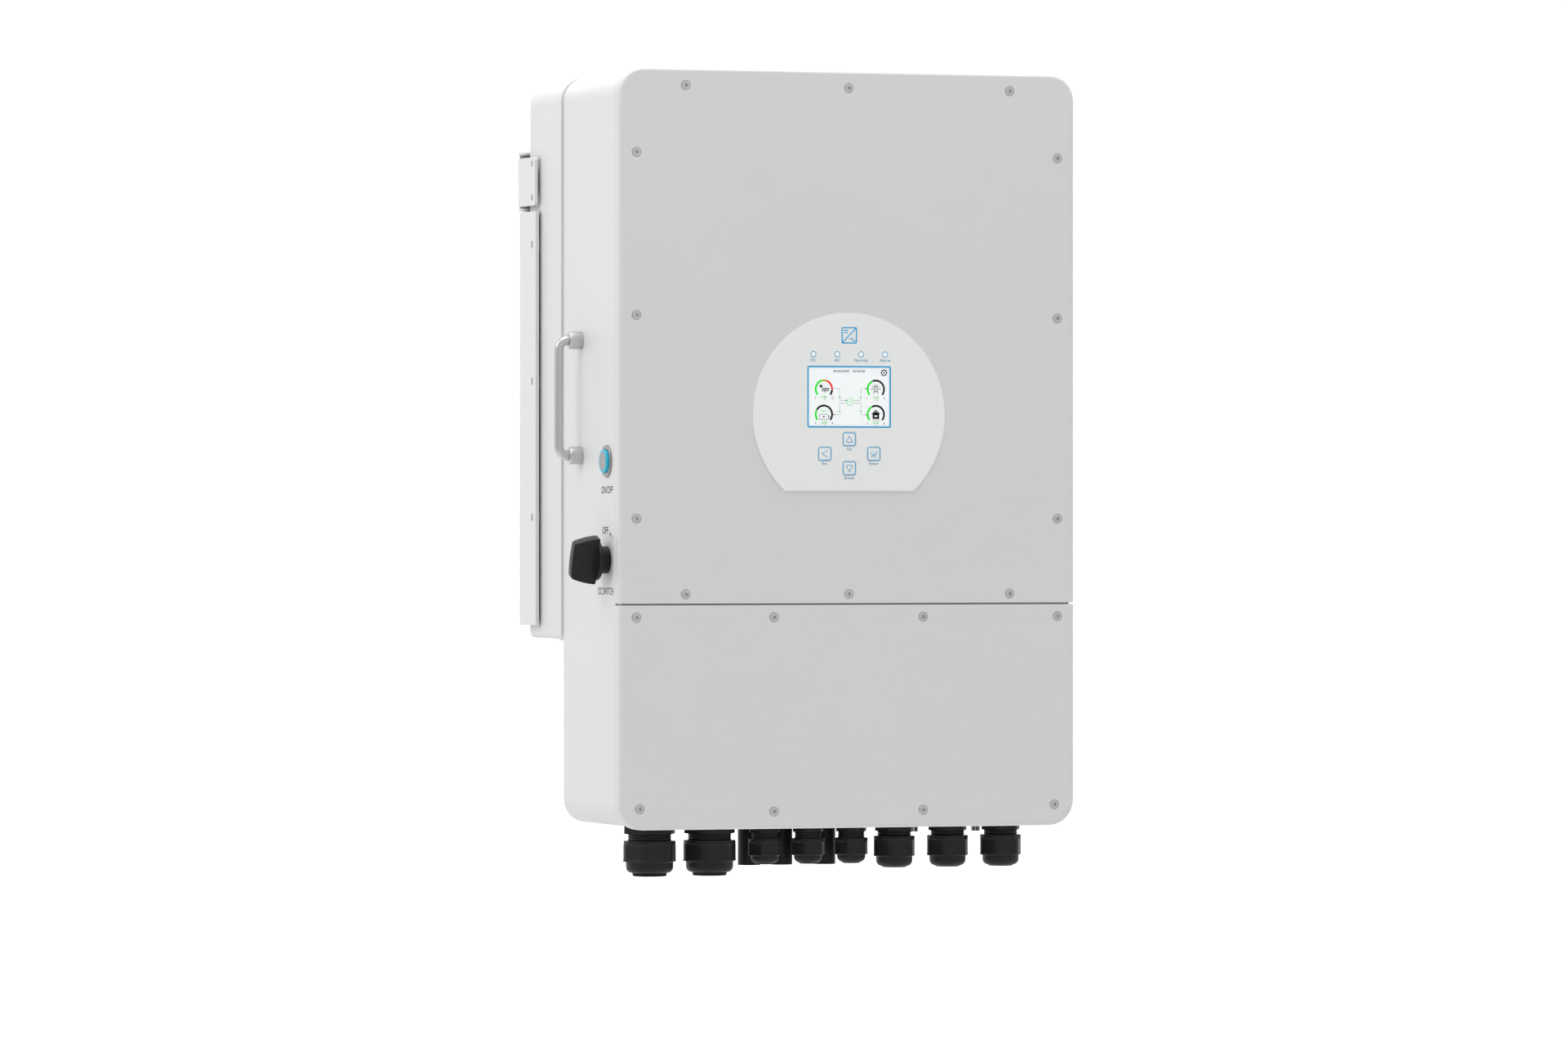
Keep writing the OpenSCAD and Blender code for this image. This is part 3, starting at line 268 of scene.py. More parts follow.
# ---- Back plate, hooks and wall bracket ----
# Folded sheet, coated the same white: the channel on the unit's back and the bracket on the wall,
# with two zinc-plated hooks that drop into the bracket's upper flange.
BRACKET_PAINT = finish("bracket powder coat", (0.735, 0.74, 0.74), (0.42, 0.54), deep=0.98, grain=560.0,
                       relief=0.000014, patch=7.0, worn=(0.88, 0.88, 0.88), wear=0.45, edge=0.0005, dust=0.06)
finished_as(BRACKET_PAINT, "back_plate", "wall_bracket")
finished_as(ZINC, "hang_hooks")
finished_as(STEEL, "rear_fixing_screws")

# ---- Gaskets and front covers ----
# Foam gaskets on the rim, then two shallow pans folded from 2.5 mm sheet, powder-coated. The face
# is rolled round into a skirt, and the joint between the pans runs right across the front.
FOAM = finish("gasket foam", (0.025, 0.025, 0.027), (0.75, 0.9), deep=0.7, grain=1800.0, relief=0.00008,
              dust=0.0)
COVER_PAINT = finish("cover powder coat", (0.685, 0.686, 0.686), (0.44, 0.54), deep=0.985, grain=640.0,
                     relief=0.000012, patch=4.0, worn=(0.86, 0.86, 0.86), wear=0.3, edge=0.0006, dust=0.04)
finished_as(FOAM, "upper_gasket", "lower_gasket")
finished_as(COVER_PAINT, "upper_cover", "lower_cover")

# ---- Cover screws ----
# M4 countersunk screws with a hexagon socket, in satin stainless steel, one in each countersink
# round the two covers. A thin dark ring shows between head and cover.
UPPER_SCREWS = [(x, h) for h in (623.2, 197.0) for x in (-145.3, 0.0, 145.3)] + [
    (x, h) for h in (566.7, 430.6, 260.4) for x in (-188.8, 188.8)]
LOWER_SCREWS = [(x, 177.7) for x in (-188.8, -66.9, 66.9, 188.8)] + [
    (-186.0, 17.8), (186.0, 17.8), (-66.9, 14.5), (66.9, 14.5)]
COVER_DEPTH = 260.0
HOLE_LINE = 551.0
MILLIMETRES = Matrix.Scale(0.001, 4)


def place(x, depth, height):
    """A point in the frame, from millimetres: depths start at the covers' face, COVER_DEPTH from the
    wall, and heights at the covers' lower edge, HOLE_LINE below the bracket's holes."""
    return Vector((x, depth - COVER_DEPTH, height - HOLE_LINE)) / 1000.0


def on_front(x=0.0, depth=0.0, height=0.0):
    """Seats a shape drawn in millimetres on the front: x across, y up, z out of the face."""
    return Matrix.Translation(place(x, depth, height)) @ Matrix.Rotation(math.pi / 2, 4, "X") @ MILLIMETRES


def softened(shape, geom, offset, segments, affect="EDGES"):
    """Rounds off edges, or corners between edges."""
    return bmesh.ops.bevel(shape, geom=geom, offset=offset, offset_type="OFFSET", segments=segments,
                           profile=0.5, affect=affect, clamp_overlap=True, material=-1)


def turned(profile, soften=0.2, steps=48, closed=True):
    """A turned shape: an outline of (radius, height) points, its corners softened, spun about Z."""
    shape = bmesh.new()
    points = [shape.verts.new((radius, 0.0, height)) for radius, height in profile]
    ends = points[1:] + points[:1] if closed else points[1:]
    for a, b in zip(points, ends):
        shape.edges.new((a, b))
    corners = [v for v in shape.verts if len(v.link_edges) == 2 and v.co.x > 1e-6]
    softened(shape, corners, soften, 2, "VERTICES")
    bmesh.ops.spin(shape, geom=shape.verts[:] + shape.edges[:], cent=(0, 0, 0), axis=(0, 0, 1),
                   dvec=(0, 0, 0), angle=2 * math.pi, steps=steps, use_merge=True, use_duplicate=False)
    bmesh.ops.remove_doubles(shape, verts=shape.verts, dist=1e-4)
    return shape


def hexagonal(shape, across, low, high, near, corner=99.0):
    """Presses a round wall of radius near, between two heights, into a hexagon across its flats,
    with its corners cut back to the radius corner."""
    for v in shape.verts:
        radius = math.hypot(v.co.x, v.co.y)
        if low - 1e-3 <= v.co.z <= high + 1e-3 and abs(radius - near) < 0.45:
            turn = math.atan2(v.co.y, v.co.x) % (math.pi / 3) - math.pi / 6
            factor = min(corner, across / 2 / math.cos(turn)) / radius
            v.co.x *= factor
            v.co.y *= factor


def added(whole, shape, *seats):
    """Adds a copy of a shape to the whole at each seat."""
    for seat in seats:
        part = bpy.data.meshes.new("part")
        shape.to_mesh(part)
        part.transform(seat)
        whole.from_mesh(part)
        bpy.data.meshes.remove(part)


def set_at(shape, *seats):
    """A shape's copies at its seats, as one new shape."""
    whole = bmesh.new()
    added(whole, shape, *seats)
    shape.free()
    return whole


def seated(name, whole, body, material):
    """Makes an object of a shape, with its faces outwards, and seats it on a body."""
    bmesh.ops.recalc_face_normals(whole, faces=whole.faces)
    mesh = bpy.data.meshes.new(name)
    whole.to_mesh(mesh)
    whole.free()
    mesh.materials.append(material)
    made = bpy.data.objects.new(name, mesh)
    bpy.context.scene.collection.objects.link(made)
    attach(made, body)
    return made


def piece(name, whole, body, material, slot, *stands_for, crease=35.0):
    """Makes a finished piece of a shape, its edges creased by angle, in place of CAD nodes."""
    bmesh.ops.remove_doubles(whole, verts=whole.verts, dist=2e-7)
    made = seated(name, whole, body, material)
    made.data.shade_smooth()
    made.data.set_sharp_from_angle(angle=math.radians(crease))
    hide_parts(*stands_for)


cover_screw = turned([(0, -1.9), (1.55, -1.9), (1.55, -0.1), (3.8, -0.1), (3.8, -0.75), (1.95, -2.3),
                      (1.95, -10.3), (0, -10.3)], soften=0.12, steps=24, closed=False)
hexagonal(cover_screw, 3.1, -2.0, -0.3, 1.55)
SCREW_FACE = finish("satin screw head", (0.56, 0.56, 0.565), (0.36, 0.48), metal=1.0, grain=1600.0,
                    worn=(0.68, 0.68, 0.68), edge=0.00015, dust=0.05)
for label, places in (("upper_cover", UPPER_SCREWS), ("lower_cover", LOWER_SCREWS)):
    screws = bmesh.new()
    added(screws, cover_screw, *(on_front(x, 0.0, h) for x, h in places))
    piece(label + "_screw_set", screws, "enclosure", SCREW_FACE, "screw_steel", label + "_screws")
cover_screw.free()

# ---- Display film and its print ----
# A matt polyester film on the cover, a disc with a flat foot, printed in light blue: lamp rings
# and their words, the window's border, the key frames and words, and a plain sign for DC to AC.
FILM = finish("matt film", (0.845, 0.862, 0.852), (0.5, 0.6), deep=0.99, grain=2200.0, relief=0.000006,
              worn=(0.88, 0.88, 0.88), wear=0.2, edge=0.0002, dust=0.03)
finished_as(FILM, "display_overlay")
BLUE_INK = finish("light blue ink", (0.015, 0.4, 0.74), (0.4, 0.5), deep=0.92, grain=2600.0, relief=0.000003,
                  dust=0.02)
INK = 0.03
FILM_PROUD = 0.8
LAMP_X = (-32.1, -10.7, 10.7, 32.1)
LAMP_HEIGHT = 399.0
KEY_PLACES = {"up": (0.0, 327.5), "down": (0.0, 303.0), "esc": (-22.0, 315.2), "enter": (22.0, 315.2)}


def stroke(flat, a, b, width):
    """A straight printed line from a to b."""
    a, b = Vector((*a, 0.0)), Vector((*b, 0.0))
    along = b - a
    turn = Matrix.Rotation(math.atan2(along.y, along.x), 4, "Z")
    seat = Matrix.Translation((a + b) / 2) @ turn @ Matrix.Diagonal((along.length, width, 1.0, 1.0))
    bmesh.ops.create_grid(flat, x_segments=1, y_segments=1, size=0.5, matrix=seat)


def band(flat, x, y, inner, outer, start=0.0, sweep=360.0):
    """A printed ring or arc, from an angle in degrees through a sweep."""
    a, s = math.radians(start), math.radians(sweep)
    ends = [flat.verts.new((r * math.cos(a), r * math.sin(a), 0.0)) for r in (inner, outer)]
    edge = flat.edges.new(ends)
    before = set(flat.verts)
    bmesh.ops.spin(flat, geom=ends + [edge], cent=(0, 0, 0), axis=(0, 0, 1), dvec=(0, 0, 0), angle=s,
                   steps=max(6, int(abs(sweep) / 9)), use_merge=abs(sweep) >= 360.0, use_duplicate=False)
    arc = [v for v in flat.verts if v not in before] + ends
    bmesh.ops.translate(flat, verts=arc, vec=(x, y, 0.0))


def disc(flat, x, y, radius, segments=20):
    bmesh.ops.create_circle(flat, cap_ends=True, segments=segments, radius=radius,
                            matrix=Matrix.Translation((x, y, 0.0)))


def patch(flat, *points):
    """A flat printed shape with these corners."""
    return flat.faces.new([flat.verts.new((x, y, 0.0)) for x, y in points])


def rounded_frame(flat, x, y, width, height, corner, line):
    """The outline of a rounded rectangle, its line inside the given size."""
    seat = Matrix.Translation((x, y, 0.0)) @ Matrix.Diagonal((width, height, 1.0, 1.0))
    corners = bmesh.ops.create_grid(flat, x_segments=1, y_segments=1, size=0.5, matrix=seat)["verts"]
    rounded = softened(flat, corners, corner, 6, "VERTICES")
    face = next(f for v in rounded["verts"] for f in v.link_faces)
    bmesh.ops.inset_region(flat, faces=[face], thickness=line, depth=0.0, use_boundary=True,
                           use_even_offset=True)
    bmesh.ops.delete(flat, geom=[face], context="FACES")


def words(flat, text, x, y, size, squeeze=1.0, spacing=1.0, weight=0.0):
    """Adds lettering, centred on a point, to a flat print."""
    line = bpy.data.curves.new("words", "FONT")
    line.body, line.size, line.space_character = text, size, spacing
    line.align_x, line.align_y = "CENTER", "CENTER"
    line.resolution_u = 3
    line.offset = weight
    holder = bpy.data.objects.new("words", line)
    bpy.context.scene.collection.objects.link(holder)
    bpy.context.view_layer.update()
    letters = bpy.data.meshes.new_from_object(holder.evaluated_get(bpy.context.evaluated_depsgraph_get()))
    letters.transform(Matrix.Translation((x, y, 0.0)) @ Matrix.Diagonal((squeeze, 1.0, 1.0, 1.0)))
    flat.from_mesh(letters)
    bpy.data.objects.remove(holder)
    bpy.data.curves.remove(line)
    bpy.data.meshes.remove(letters)


def drawn_out(shape, new, step):
    """Moves what an extrusion has just made."""
    bmesh.ops.translate(shape, verts=[g for g in new if isinstance(g, bmesh.types.BMVert)], vec=step)


def printed(name, flat, seat, body, material, thickness=INK):
    """Lays a flat print down as a thin solid layer of ink."""
    bmesh.ops.remove_doubles(flat, verts=flat.verts, dist=1e-4)
    raised = bmesh.ops.extrude_face_region(flat, geom=flat.faces[:], use_keep_orig=True)["geom"]
    drawn_out(flat, raised, (0.0, 0.0, thickness))
    bmesh.ops.transform(flat, matrix=seat, verts=flat.verts)
    seated(name, flat, body, material)


film_print = bmesh.new()
for x, word in zip(LAMP_X, ("DC", "AC", "Normal", "Alarm")):
    band(film_print, x, LAMP_HEIGHT, 2.0, 2.6)
    words(film_print, word, x, 394.0, 3.5, spacing=1.12, weight=0.04)
rounded_frame(film_print, 0.0, 363.2, 75.2, 52.2, 1.8, 1.35)
for key, drop in (("up", 8.2), ("down", 8.2), ("esc", 8.3), ("enter", 8.3)):
    x, height = KEY_PLACES[key]
    words(film_print, key.capitalize(), x, height - drop, 3.4, spacing=1.12, weight=0.04)
# the sign over the lamps: a square with a diagonal, two bars for DC and a wave for AC
rounded_frame(film_print, 0.0, 415.0, 14.0, 14.0, 1.6, 1.1)
stroke(film_print, (-5.9, 409.1), (5.9, 420.9), 1.0)
for height in (417.2, 419.2):
    stroke(film_print, (-5.0, height), (-1.2, height), 0.9)
band(film_print, 1.9, 411.2, 0.75, 1.6, 0.0, 180.0)
band(film_print, 4.25, 411.2, 0.75, 1.6, 180.0, 180.0)
printed("display_film_print", film_print, on_front(depth=-FILM_PROUD), "enclosure", BLUE_INK)

# ---- Screen ----
# A white lit panel behind a clear hard-coated window. Its picture is four round gauges, for panels,
# grid, battery and house, joined by dashed lines to the inverter in the middle.
SCREEN = finish("lit white panel", (0.86, 0.87, 0.87), (0.3, 0.36), deep=0.99, grain=2600.0, relief=0.000002,
                dust=0.0, glow=0.46)
finished_as(SCREEN, "display_module")
GREEN = (0.01, 0.7, 0.015)
RED = (0.85, 0.015, 0.01)
LEFT, RIGHT, TOP, BOTTOM = -22.4, 24.2, 369.7, 348.4
GAUGE = (6.5, 8.2)


def lit(name, colour, glow=None):
    """A colour of the panel's picture, dull, and lit from behind where it glows."""
    return finish(name, colour, (0.5, 0.6), shine=0.0, grain=2600.0, relief=0.000002, dust=0.0, glow=glow)


window = bpy.data.materials.new("clear window")
window.use_nodes = True
pane = window.node_tree.nodes["Principled BSDF"]
pane.inputs["Base Color"].default_value = (0.97, 0.985, 0.99, 1.0)
pane.inputs["Transmission Weight"].default_value = 1.0
pane.inputs["IOR"].default_value = 1.2
smears = wire(window.node_tree, "ShaderNodeGroup", node_tree=GRAIN)
for key, value in (("Grain Scale", 120.0), ("Patch Scale", 30.0), ("Low", 0.0), ("High", 0.05)):
    smears.inputs[key].default_value = value
window.node_tree.links.new(smears.outputs["Roughness"], pane.inputs["Roughness"])
finished_as(window, "display_window")

black, grey, green = bmesh.new(), bmesh.new(), bmesh.new()
# panels: green into red, then a black rest; the others green, then black
band(black, LEFT, TOP, *GAUGE, -2.0, -38.0)
for x, y, done in ((RIGHT, TOP, 105.0), (LEFT, BOTTOM, 70.0), (RIGHT, BOTTOM, 100.0)):
    band(green, x, y, *GAUGE, 220.0, -done)
    band(black, x, y, *GAUGE, 219.0 - done, -(259.0 - done))
for x, y, low, value, high in ((LEFT, TOP, "0", "0.00", "12"), (RIGHT, TOP, "0", "-0.00", "8"),
                               (LEFT, BOTTOM, "0", "-0.00", "8"), (RIGHT, BOTTOM, "0", "0.00", "8")):
    words(green, value, x, y - 7.0, 2.9, weight=0.03)
    words(grey, low, x - 7.6, y - 7.6, 2.2, weight=0.03)
    words(grey, high, x + 7.6, y - 7.6, 2.2, weight=0.03)
    words(grey, "kW", x + 1.0, y - 9.2, 1.4)
words(grey, "00/00/0000   00:00:00", 0.2, 384.7, 2.9, spacing=1.1, weight=0.04)
# settings: a cog
band(black, 31.6, 383.7, 1.75, 2.45)
disc(black, 31.6, 383.7, 0.8)
for k in range(8):
    a = k * math.pi / 4
    stroke(black, (31.6 + 2.2 * math.cos(a), 383.7 + 2.2 * math.sin(a)),
           (31.6 + 3.1 * math.cos(a), 383.7 + 3.1 * math.sin(a)), 0.9)
# panels: a sun behind a tilted grid
disc(black, LEFT - 2.6, TOP + 2.4, 1.3, 12)
for k in range(8):
    a = k * math.pi / 4 + 0.2
    stroke(black, (LEFT - 2.6 + 1.6 * math.cos(a), TOP + 2.4 + 1.6 * math.sin(a)),
           (LEFT - 2.6 + 2.1 * math.cos(a), TOP + 2.4 + 2.1 * math.sin(a)), 0.3)
for row in range(3):
    for col in range(4):
        x, y = LEFT - 2.2 + col * 1.6 - row * 0.35 + 0.9, TOP + 1.0 - row * 1.05
        patch(black, (x, y - 0.8), (x + 1.3, y - 0.8), (x + 1.45, y), (x + 0.15, y))
stroke(black, (LEFT + 0.7, TOP - 1.8), (LEFT + 0.7, TOP - 3.2), 0.4)
# grid: a lattice mast
for lean in (-1, 1):
    stroke(black, (RIGHT + lean * 2.2, TOP - 4.2), (RIGHT + lean * 0.5, TOP + 4.2), 0.3)
    stroke(black, (RIGHT + lean * 4.6, TOP - 0.2), (RIGHT, TOP + 1.6), 0.3)
    stroke(black, (RIGHT + lean * 3.2, TOP + 2.1), (RIGHT, TOP + 3.6), 0.3)
    stroke(black, (RIGHT + lean * 2.0, TOP - 3.2), (RIGHT - lean * 1.3, TOP - 0.8), 0.25)
for y, half in ((-0.2, 4.8), (2.1, 3.3), (-2.0, 1.7)):
    stroke(black, (RIGHT - half, TOP + y), (RIGHT + half, TOP + y), 0.3)
# battery: a case with its pole and a flash
rounded_frame(black, LEFT, BOTTOM - 2.1, 8.4, 4.6, 0.7, 0.35)
patch(black, (LEFT + 4.3, BOTTOM - 2.9), (LEFT + 4.9, BOTTOM - 2.9), (LEFT + 4.9, BOTTOM - 1.3),
      (LEFT + 4.3, BOTTOM - 1.3))
patch(black, (LEFT - 2.2, BOTTOM - 2.2), (LEFT + 0.5, BOTTOM - 2.9), (LEFT + 0.4, BOTTOM - 2.2),
      (LEFT + 2.2, BOTTOM - 2.1), (LEFT - 0.5, BOTTOM - 1.3), (LEFT - 0.4, BOTTOM - 2.0))
words(green, "00%", LEFT, BOTTOM + 2.7, 2.9)
# house: gable, wall with its window, and a step
patch(black, (RIGHT - 4.0, BOTTOM + 0.6), (RIGHT, BOTTOM + 4.2), (RIGHT + 4.0, BOTTOM + 0.6),
      (RIGHT + 3.4, BOTTOM + 0.1), (RIGHT, BOTTOM + 3.1), (RIGHT - 3.4, BOTTOM + 0.1))
rounded_frame(black, RIGHT, BOTTOM - 1.4, 6.0, 4.6, 0.3, 1.7)
patch(black, (RIGHT - 2.9, BOTTOM + 0.6), (RIGHT, BOTTOM + 2.6), (RIGHT + 2.9, BOTTOM + 0.6))
stroke(black, (RIGHT - 3.4, BOTTOM - 4.4), (RIGHT + 3.4, BOTTOM - 4.4), 0.4)
# the inverter in the middle, and dashed lines with arrow heads and green dots
band(green, 1.2, 359.0, 2.8, 3.25)
words(green, "ON", 1.2, 359.0, 2.4)
ROUTES = [[(-13.6, 370.2), (-8.3, 370.2), (-8.3, 360.1), (-2.6, 360.1)],
          [(-2.2, 358.0), (-8.3, 358.0), (-8.3, 348.1), (-13.0, 348.1)],
          [(4.6, 360.1), (10.7, 360.1), (10.7, 370.2), (15.2, 370.2)],
          [(4.6, 358.0), (10.7, 358.0), (10.7, 348.1), (15.2, 348.1)]]
for route in ROUTES:
    for a, b in zip(route, route[1:]):
        a, b = Vector(a), Vector(b)
        dashes = max(1, round((b - a).length / 1.5))
        for k in range(dashes):
            stroke(grey, a.lerp(b, k / dashes), a.lerp(b, (k + 0.6) / dashes), 0.4)
    tip, towards = Vector(route[-1]), (Vector(route[-1]) - Vector(route[-2])).normalized()
    side = Vector((-towards.y, towards.x))
    patch(black, tip + towards * 1.2, tip + side * 0.7 - towards * 0.3, tip - side * 0.7 - towards * 0.3)
for x in (-8.3, 10.7):
    for y in (362.9, 351.2):
        disc(green, x, y, 0.7, 12)
for name, flat, material in (
    ("black", black, lit("picture black", (0.003, 0.003, 0.003))),
    ("grey", grey, lit("picture grey", (0.06, 0.06, 0.06))),
    ("green", green, lit("picture green", GREEN, glow=0.5)),
):
    printed("screen_picture_" + name, flat, on_front(depth=0.3), "enclosure", material, 0.02)

# the first gauge runs from green through amber to red, as its arc goes over the top
warming = lit("picture green to red", GREEN, glow=0.5)
tree = warming.node_tree
across = wire(tree, "ShaderNodeSeparateXYZ", {"Vector": wire(tree, "ShaderNodeTexCoord").outputs["Object"]})
share = wire(tree, "ShaderNodeMapRange", {"Value": across.outputs["X"], "From Min": (LEFT - 3.5) / 1000,
                                          "From Max": (LEFT + 4.0) / 1000})
gauge_colour = mixed(tree, share.outputs[0], (*GREEN, 1.0), (*RED, 1.0))
for socket in ("Base Color", "Emission Color"):
    tree.links.new(gauge_colour, tree.nodes["Principled BSDF"].inputs[socket])
arc = bmesh.new()
band(arc, LEFT, TOP, *GAUGE, 220.0, -221.0)
printed("screen_picture_red", arc, on_front(depth=0.3), "enclosure", warming, 0.02)

# ---- Lamps ----
# Four clear moulded rods that bring the light of the lamps on the display board to the film's
# holes. The lamps are unlit, and a faint painted glow keeps the rods' ends white.
# the rods' faint glow is painted light, since the lamps behind them are off
LAMP_ROD_PAINTED_GLOW = finish("clear lamp rod with painted glow", (0.86, 0.88, 0.9), (0.12, 0.2), deep=0.98, coat=0.5, grain=1800.0,
              relief=0.000003, dust=0.0, glow=0.15)
finished_as(LAMP_ROD_PAINTED_GLOW, "light_pipes")

# ---- Keys ----
# Four square caps under the film's colour, just proud of it, each with a printed blue frame and
# its sign. A stem behind each presses a dome on the display board.
KEY_SIZE, KEY_THICK, KEY_PROUD = 12.2, 1.2, 0.2


def key_cap():
    """A cap with rounded corners and a softened rim, and the stem behind it."""
    cap = bmesh.new()
    seat = Matrix.Translation((0.0, 0.0, FILM_PROUD + KEY_PROUD - KEY_THICK / 2)) @ Matrix.Diagonal(
        (KEY_SIZE, KEY_SIZE, KEY_THICK, 1.0))
    bmesh.ops.create_cube(cap, size=1.0, matrix=seat)
    upright = [e for e in cap.edges if abs(e.verts[0].co.z - e.verts[1].co.z) > 1.0]
    softened(cap, upright, 1.9, 6)
    top = max(f.calc_center_median().z for f in cap.faces)
    rim = {e for f in cap.faces if abs(f.calc_center_median().z - top) < 1e-4 for e in f.edges}
    softened(cap, list(rim), 0.25, 3)
    stem = turned([(0, -4.25), (2.0, -4.25), (2.0, -0.1), (0, -0.1)], soften=0.2, steps=20, closed=False)
    added(cap, stem, Matrix.Identity(4))
    stem.free()
    return cap


def key_sign(name):
    """A key's printed frame, with an arrow up or down, a way back for esc, or a ticked box."""
    flat = bmesh.new()
    rounded_frame(flat, 0.0, 0.0, 11.5, 11.5, 1.8, 0.8)
    if name in ("up", "down"):
        s = 1 if name == "up" else -1
        tips = [(0.0, 2.9 * s), (2.9, -2.5 * s), (-2.9, -2.5 * s)]
        for a, b in zip(tips, tips[1:] + tips[:1]):
            stroke(flat, a, b, 0.6)
    elif name == "esc":
        stroke(flat, (2.7, 2.9), (-2.7, 0.1), 0.6)
        stroke(flat, (2.7, -2.9), (-2.7, -0.1), 0.6)
    else:
        patch(flat, (-1.7, 0.3), (-0.4, -1.1), (3.0, 2.2), (3.3, 1.5), (-0.3, -2.4), (-2.1, -0.3))
        for a, b in (((-2.6, 2.2), (1.0, 2.2)), ((-2.6, 2.2), (-2.6, -2.6)), ((-2.6, -2.6), (2.2, -2.6)),
                     ((2.2, -2.6), (2.2, -0.6))):
            stroke(flat, a, b, 0.28)
    return flat


for key, (x, height) in KEY_PLACES.items():
    body = f"key_{key}_button"
    piece("key_cap_" + key, set_at(key_cap(), on_front(x, 0.0, height)), body, FILM, "overlay_film",
          "key_" + key, crease=50.0)
    printed("key_sign_" + key, key_sign(key), on_front(x, -FILM_PROUD - KEY_PROUD, height), body, BLUE_INK)

# ---- Power button ----
# A steel push button in the left side: a flat bezel with its barrel and nut, a sprung actuator with
# a satin middle, and round it a clear cyan ring with a faint painted glow.
CONTROL_DEPTH, BUTTON_HEIGHT, KNOB_HEIGHT, SIDE = 38.5, 308.7, 226.0, -202.0


def on_left(depth, height):
    """Seats a shape drawn in millimetres on the left side: x up, y towards the wall, z outwards."""
    upright = Matrix.Rotation(-math.pi / 2, 4, "Y")
    return Matrix.Translation(place(SIDE, depth, height)) @ upright @ MILLIMETRES


SATIN_STEEL = finish("satin turned steel", (0.35, 0.35, 0.355), (0.34, 0.46), metal=0.85, deep=0.96,
                     grain=1500.0, worn=(0.6, 0.6, 0.6), edge=0.0003, dust=0.05)
# the cyan ring's faint glow is painted light; the ring itself is not lit
CYAN_RING_PAINTED_GLOW = finish("lit cyan ring", (0.035, 0.44, 0.6), (0.3, 0.4), deep=0.95, shine=0.3, grain=1500.0,
                   relief=0.000003, dust=0.0, glow=0.22)
button_seat = on_left(CONTROL_DEPTH, BUTTON_HEIGHT)
bezel = turned([(9.95, 1.6), (13.5, 1.6), (13.5, 0.0), (10.9, 0.0), (10.9, -24.0), (3.4, -24.0), (3.4, -21.0),
                (9.95, -21.0)], soften=0.35, steps=72)
ring = turned([(8.0, 1.0), (9.6, 1.0), (9.6, 4.1), (8.0, 4.1)], soften=0.35, steps=72)
actuator = turned([(0, -23.0), (3.0, -23.0), (3.0, -5.0), (9.6, -5.0), (9.6, 0.95), (7.95, 0.95), (7.95, 4.2),
                   (7.0, 4.2), (5.6, 3.85), (0, 3.8)], soften=0.25, steps=72, closed=False)
piece("button_bezel", set_at(bezel, button_seat), "enclosure", SATIN_STEEL, "button_metal",
      "power_button_bezel")
piece("button_ring", set_at(ring, button_seat), "power_button", CYAN_RING_PAINTED_GLOW, "button_ring", "power_button_ring")
piece("button_actuator", set_at(actuator, button_seat), "power_button", SATIN_STEEL, "button_metal",
      "power_button_cap")
finished_as(SATIN_STEEL, "power_button_nut")
SPRING = finish("bright spring wire", (0.6, 0.6, 0.61), (0.15, 0.28), metal=1.0, grain=1800.0, dust=0.0)
finished_as(SPRING, "power_button_spring")

# ---- Isolator knob ----
# The rotary switch in the left side: a round collar on the case, a thin disc, and a deep tapered
# grip across it, moulded in black. It stands turned a little towards the front.
KNOB_TILT = math.radians(20.0)
GRIP_FOOT, GRIP_TALL, GRIP_THICK = 9.2, 22.8, 11.0
HALF_FOOT, HALF_TIP = 20.5, 15.0
KNOB_PLASTIC = finish("black knob plastic", (0.0125, 0.0125, 0.013), (0.34, 0.46), deep=0.8, shine=0.25,
                      grain=1300.0, relief=0.000025, patch=25.0, worn=(0.07, 0.07, 0.07), wear=0.6,
                      edge=0.0006, dust=0.15)
knob_seat = on_left(CONTROL_DEPTH, KNOB_HEIGHT)
collar = turned([(3.05, -3.0), (4.9, -3.0), (4.9, 0.0), (11.5, 0.0), (11.5, 6.6), (10.9, 8.0), (3.05, 8.0)],
                soften=0.5, steps=64)
piece("knob_collar", set_at(collar, knob_seat), "enclosure", KNOB_PLASTIC, "isolator_plastic",
      "isolator_collar")

knob = turned([(3.0, 8.3), (16.6, 8.3), (17.25, 9.0), (17.25, 10.6), (16.2, 11.4), (3.0, 11.4)], soften=0.3,
              steps=72)
# the grip narrows from foot to tip with a slight belly, and its tip is a little round
grip = bmesh.new()
middle = Matrix.Translation((0, 0, GRIP_FOOT + GRIP_TALL / 2))
bmesh.ops.create_cube(grip, size=1.0, matrix=middle @ Matrix.Diagonal((2.0, GRIP_THICK, GRIP_TALL, 1.0)))
lengthways = [e for e in grip.edges if abs(e.verts[0].co.y - e.verts[1].co.y) < 1.0]
bmesh.ops.subdivide_edges(grip, edges=lengthways, cuts=7, use_grid_fill=True)
for v in grip.verts:
    rise = (v.co.z - GRIP_FOOT) / GRIP_TALL
    v.co.x *= HALF_FOOT - (HALF_FOOT - HALF_TIP) * rise + 4.4 * rise * (1.0 - rise)
    v.co.y *= 1.0 - 0.08 * rise
    if rise > 0.99:
        v.co.z -= 0.8 * (v.co.x / HALF_TIP) ** 2
sharp = [e for e in grip.edges if len(e.link_faces) == 2 and e.calc_face_angle() > math.radians(40)]
softened(grip, sharp, 1.6, 4)
turned_seat = knob_seat @ Matrix.Rotation(-KNOB_TILT, 4, "Z")
whole = set_at(knob, turned_seat)
added(whole, grip, turned_seat)
grip.free()
piece("knob_grip", whole, "isolator_switch", KNOB_PLASTIC, "isolator_plastic", "isolator_knob", crease=50.0)
finished_as(STEEL, "isolator_shaft")

# ---- Words on the left side ----
# Thin dark lettering screen-printed on the coat beside the two controls, with the arc that the
# switch turns through and the tick at its off position.
SCREEN_INK = finish("dark printing ink", (0.035, 0.035, 0.037), (0.5, 0.6), grain=2400.0, relief=0.000003,
                    dust=0.03)
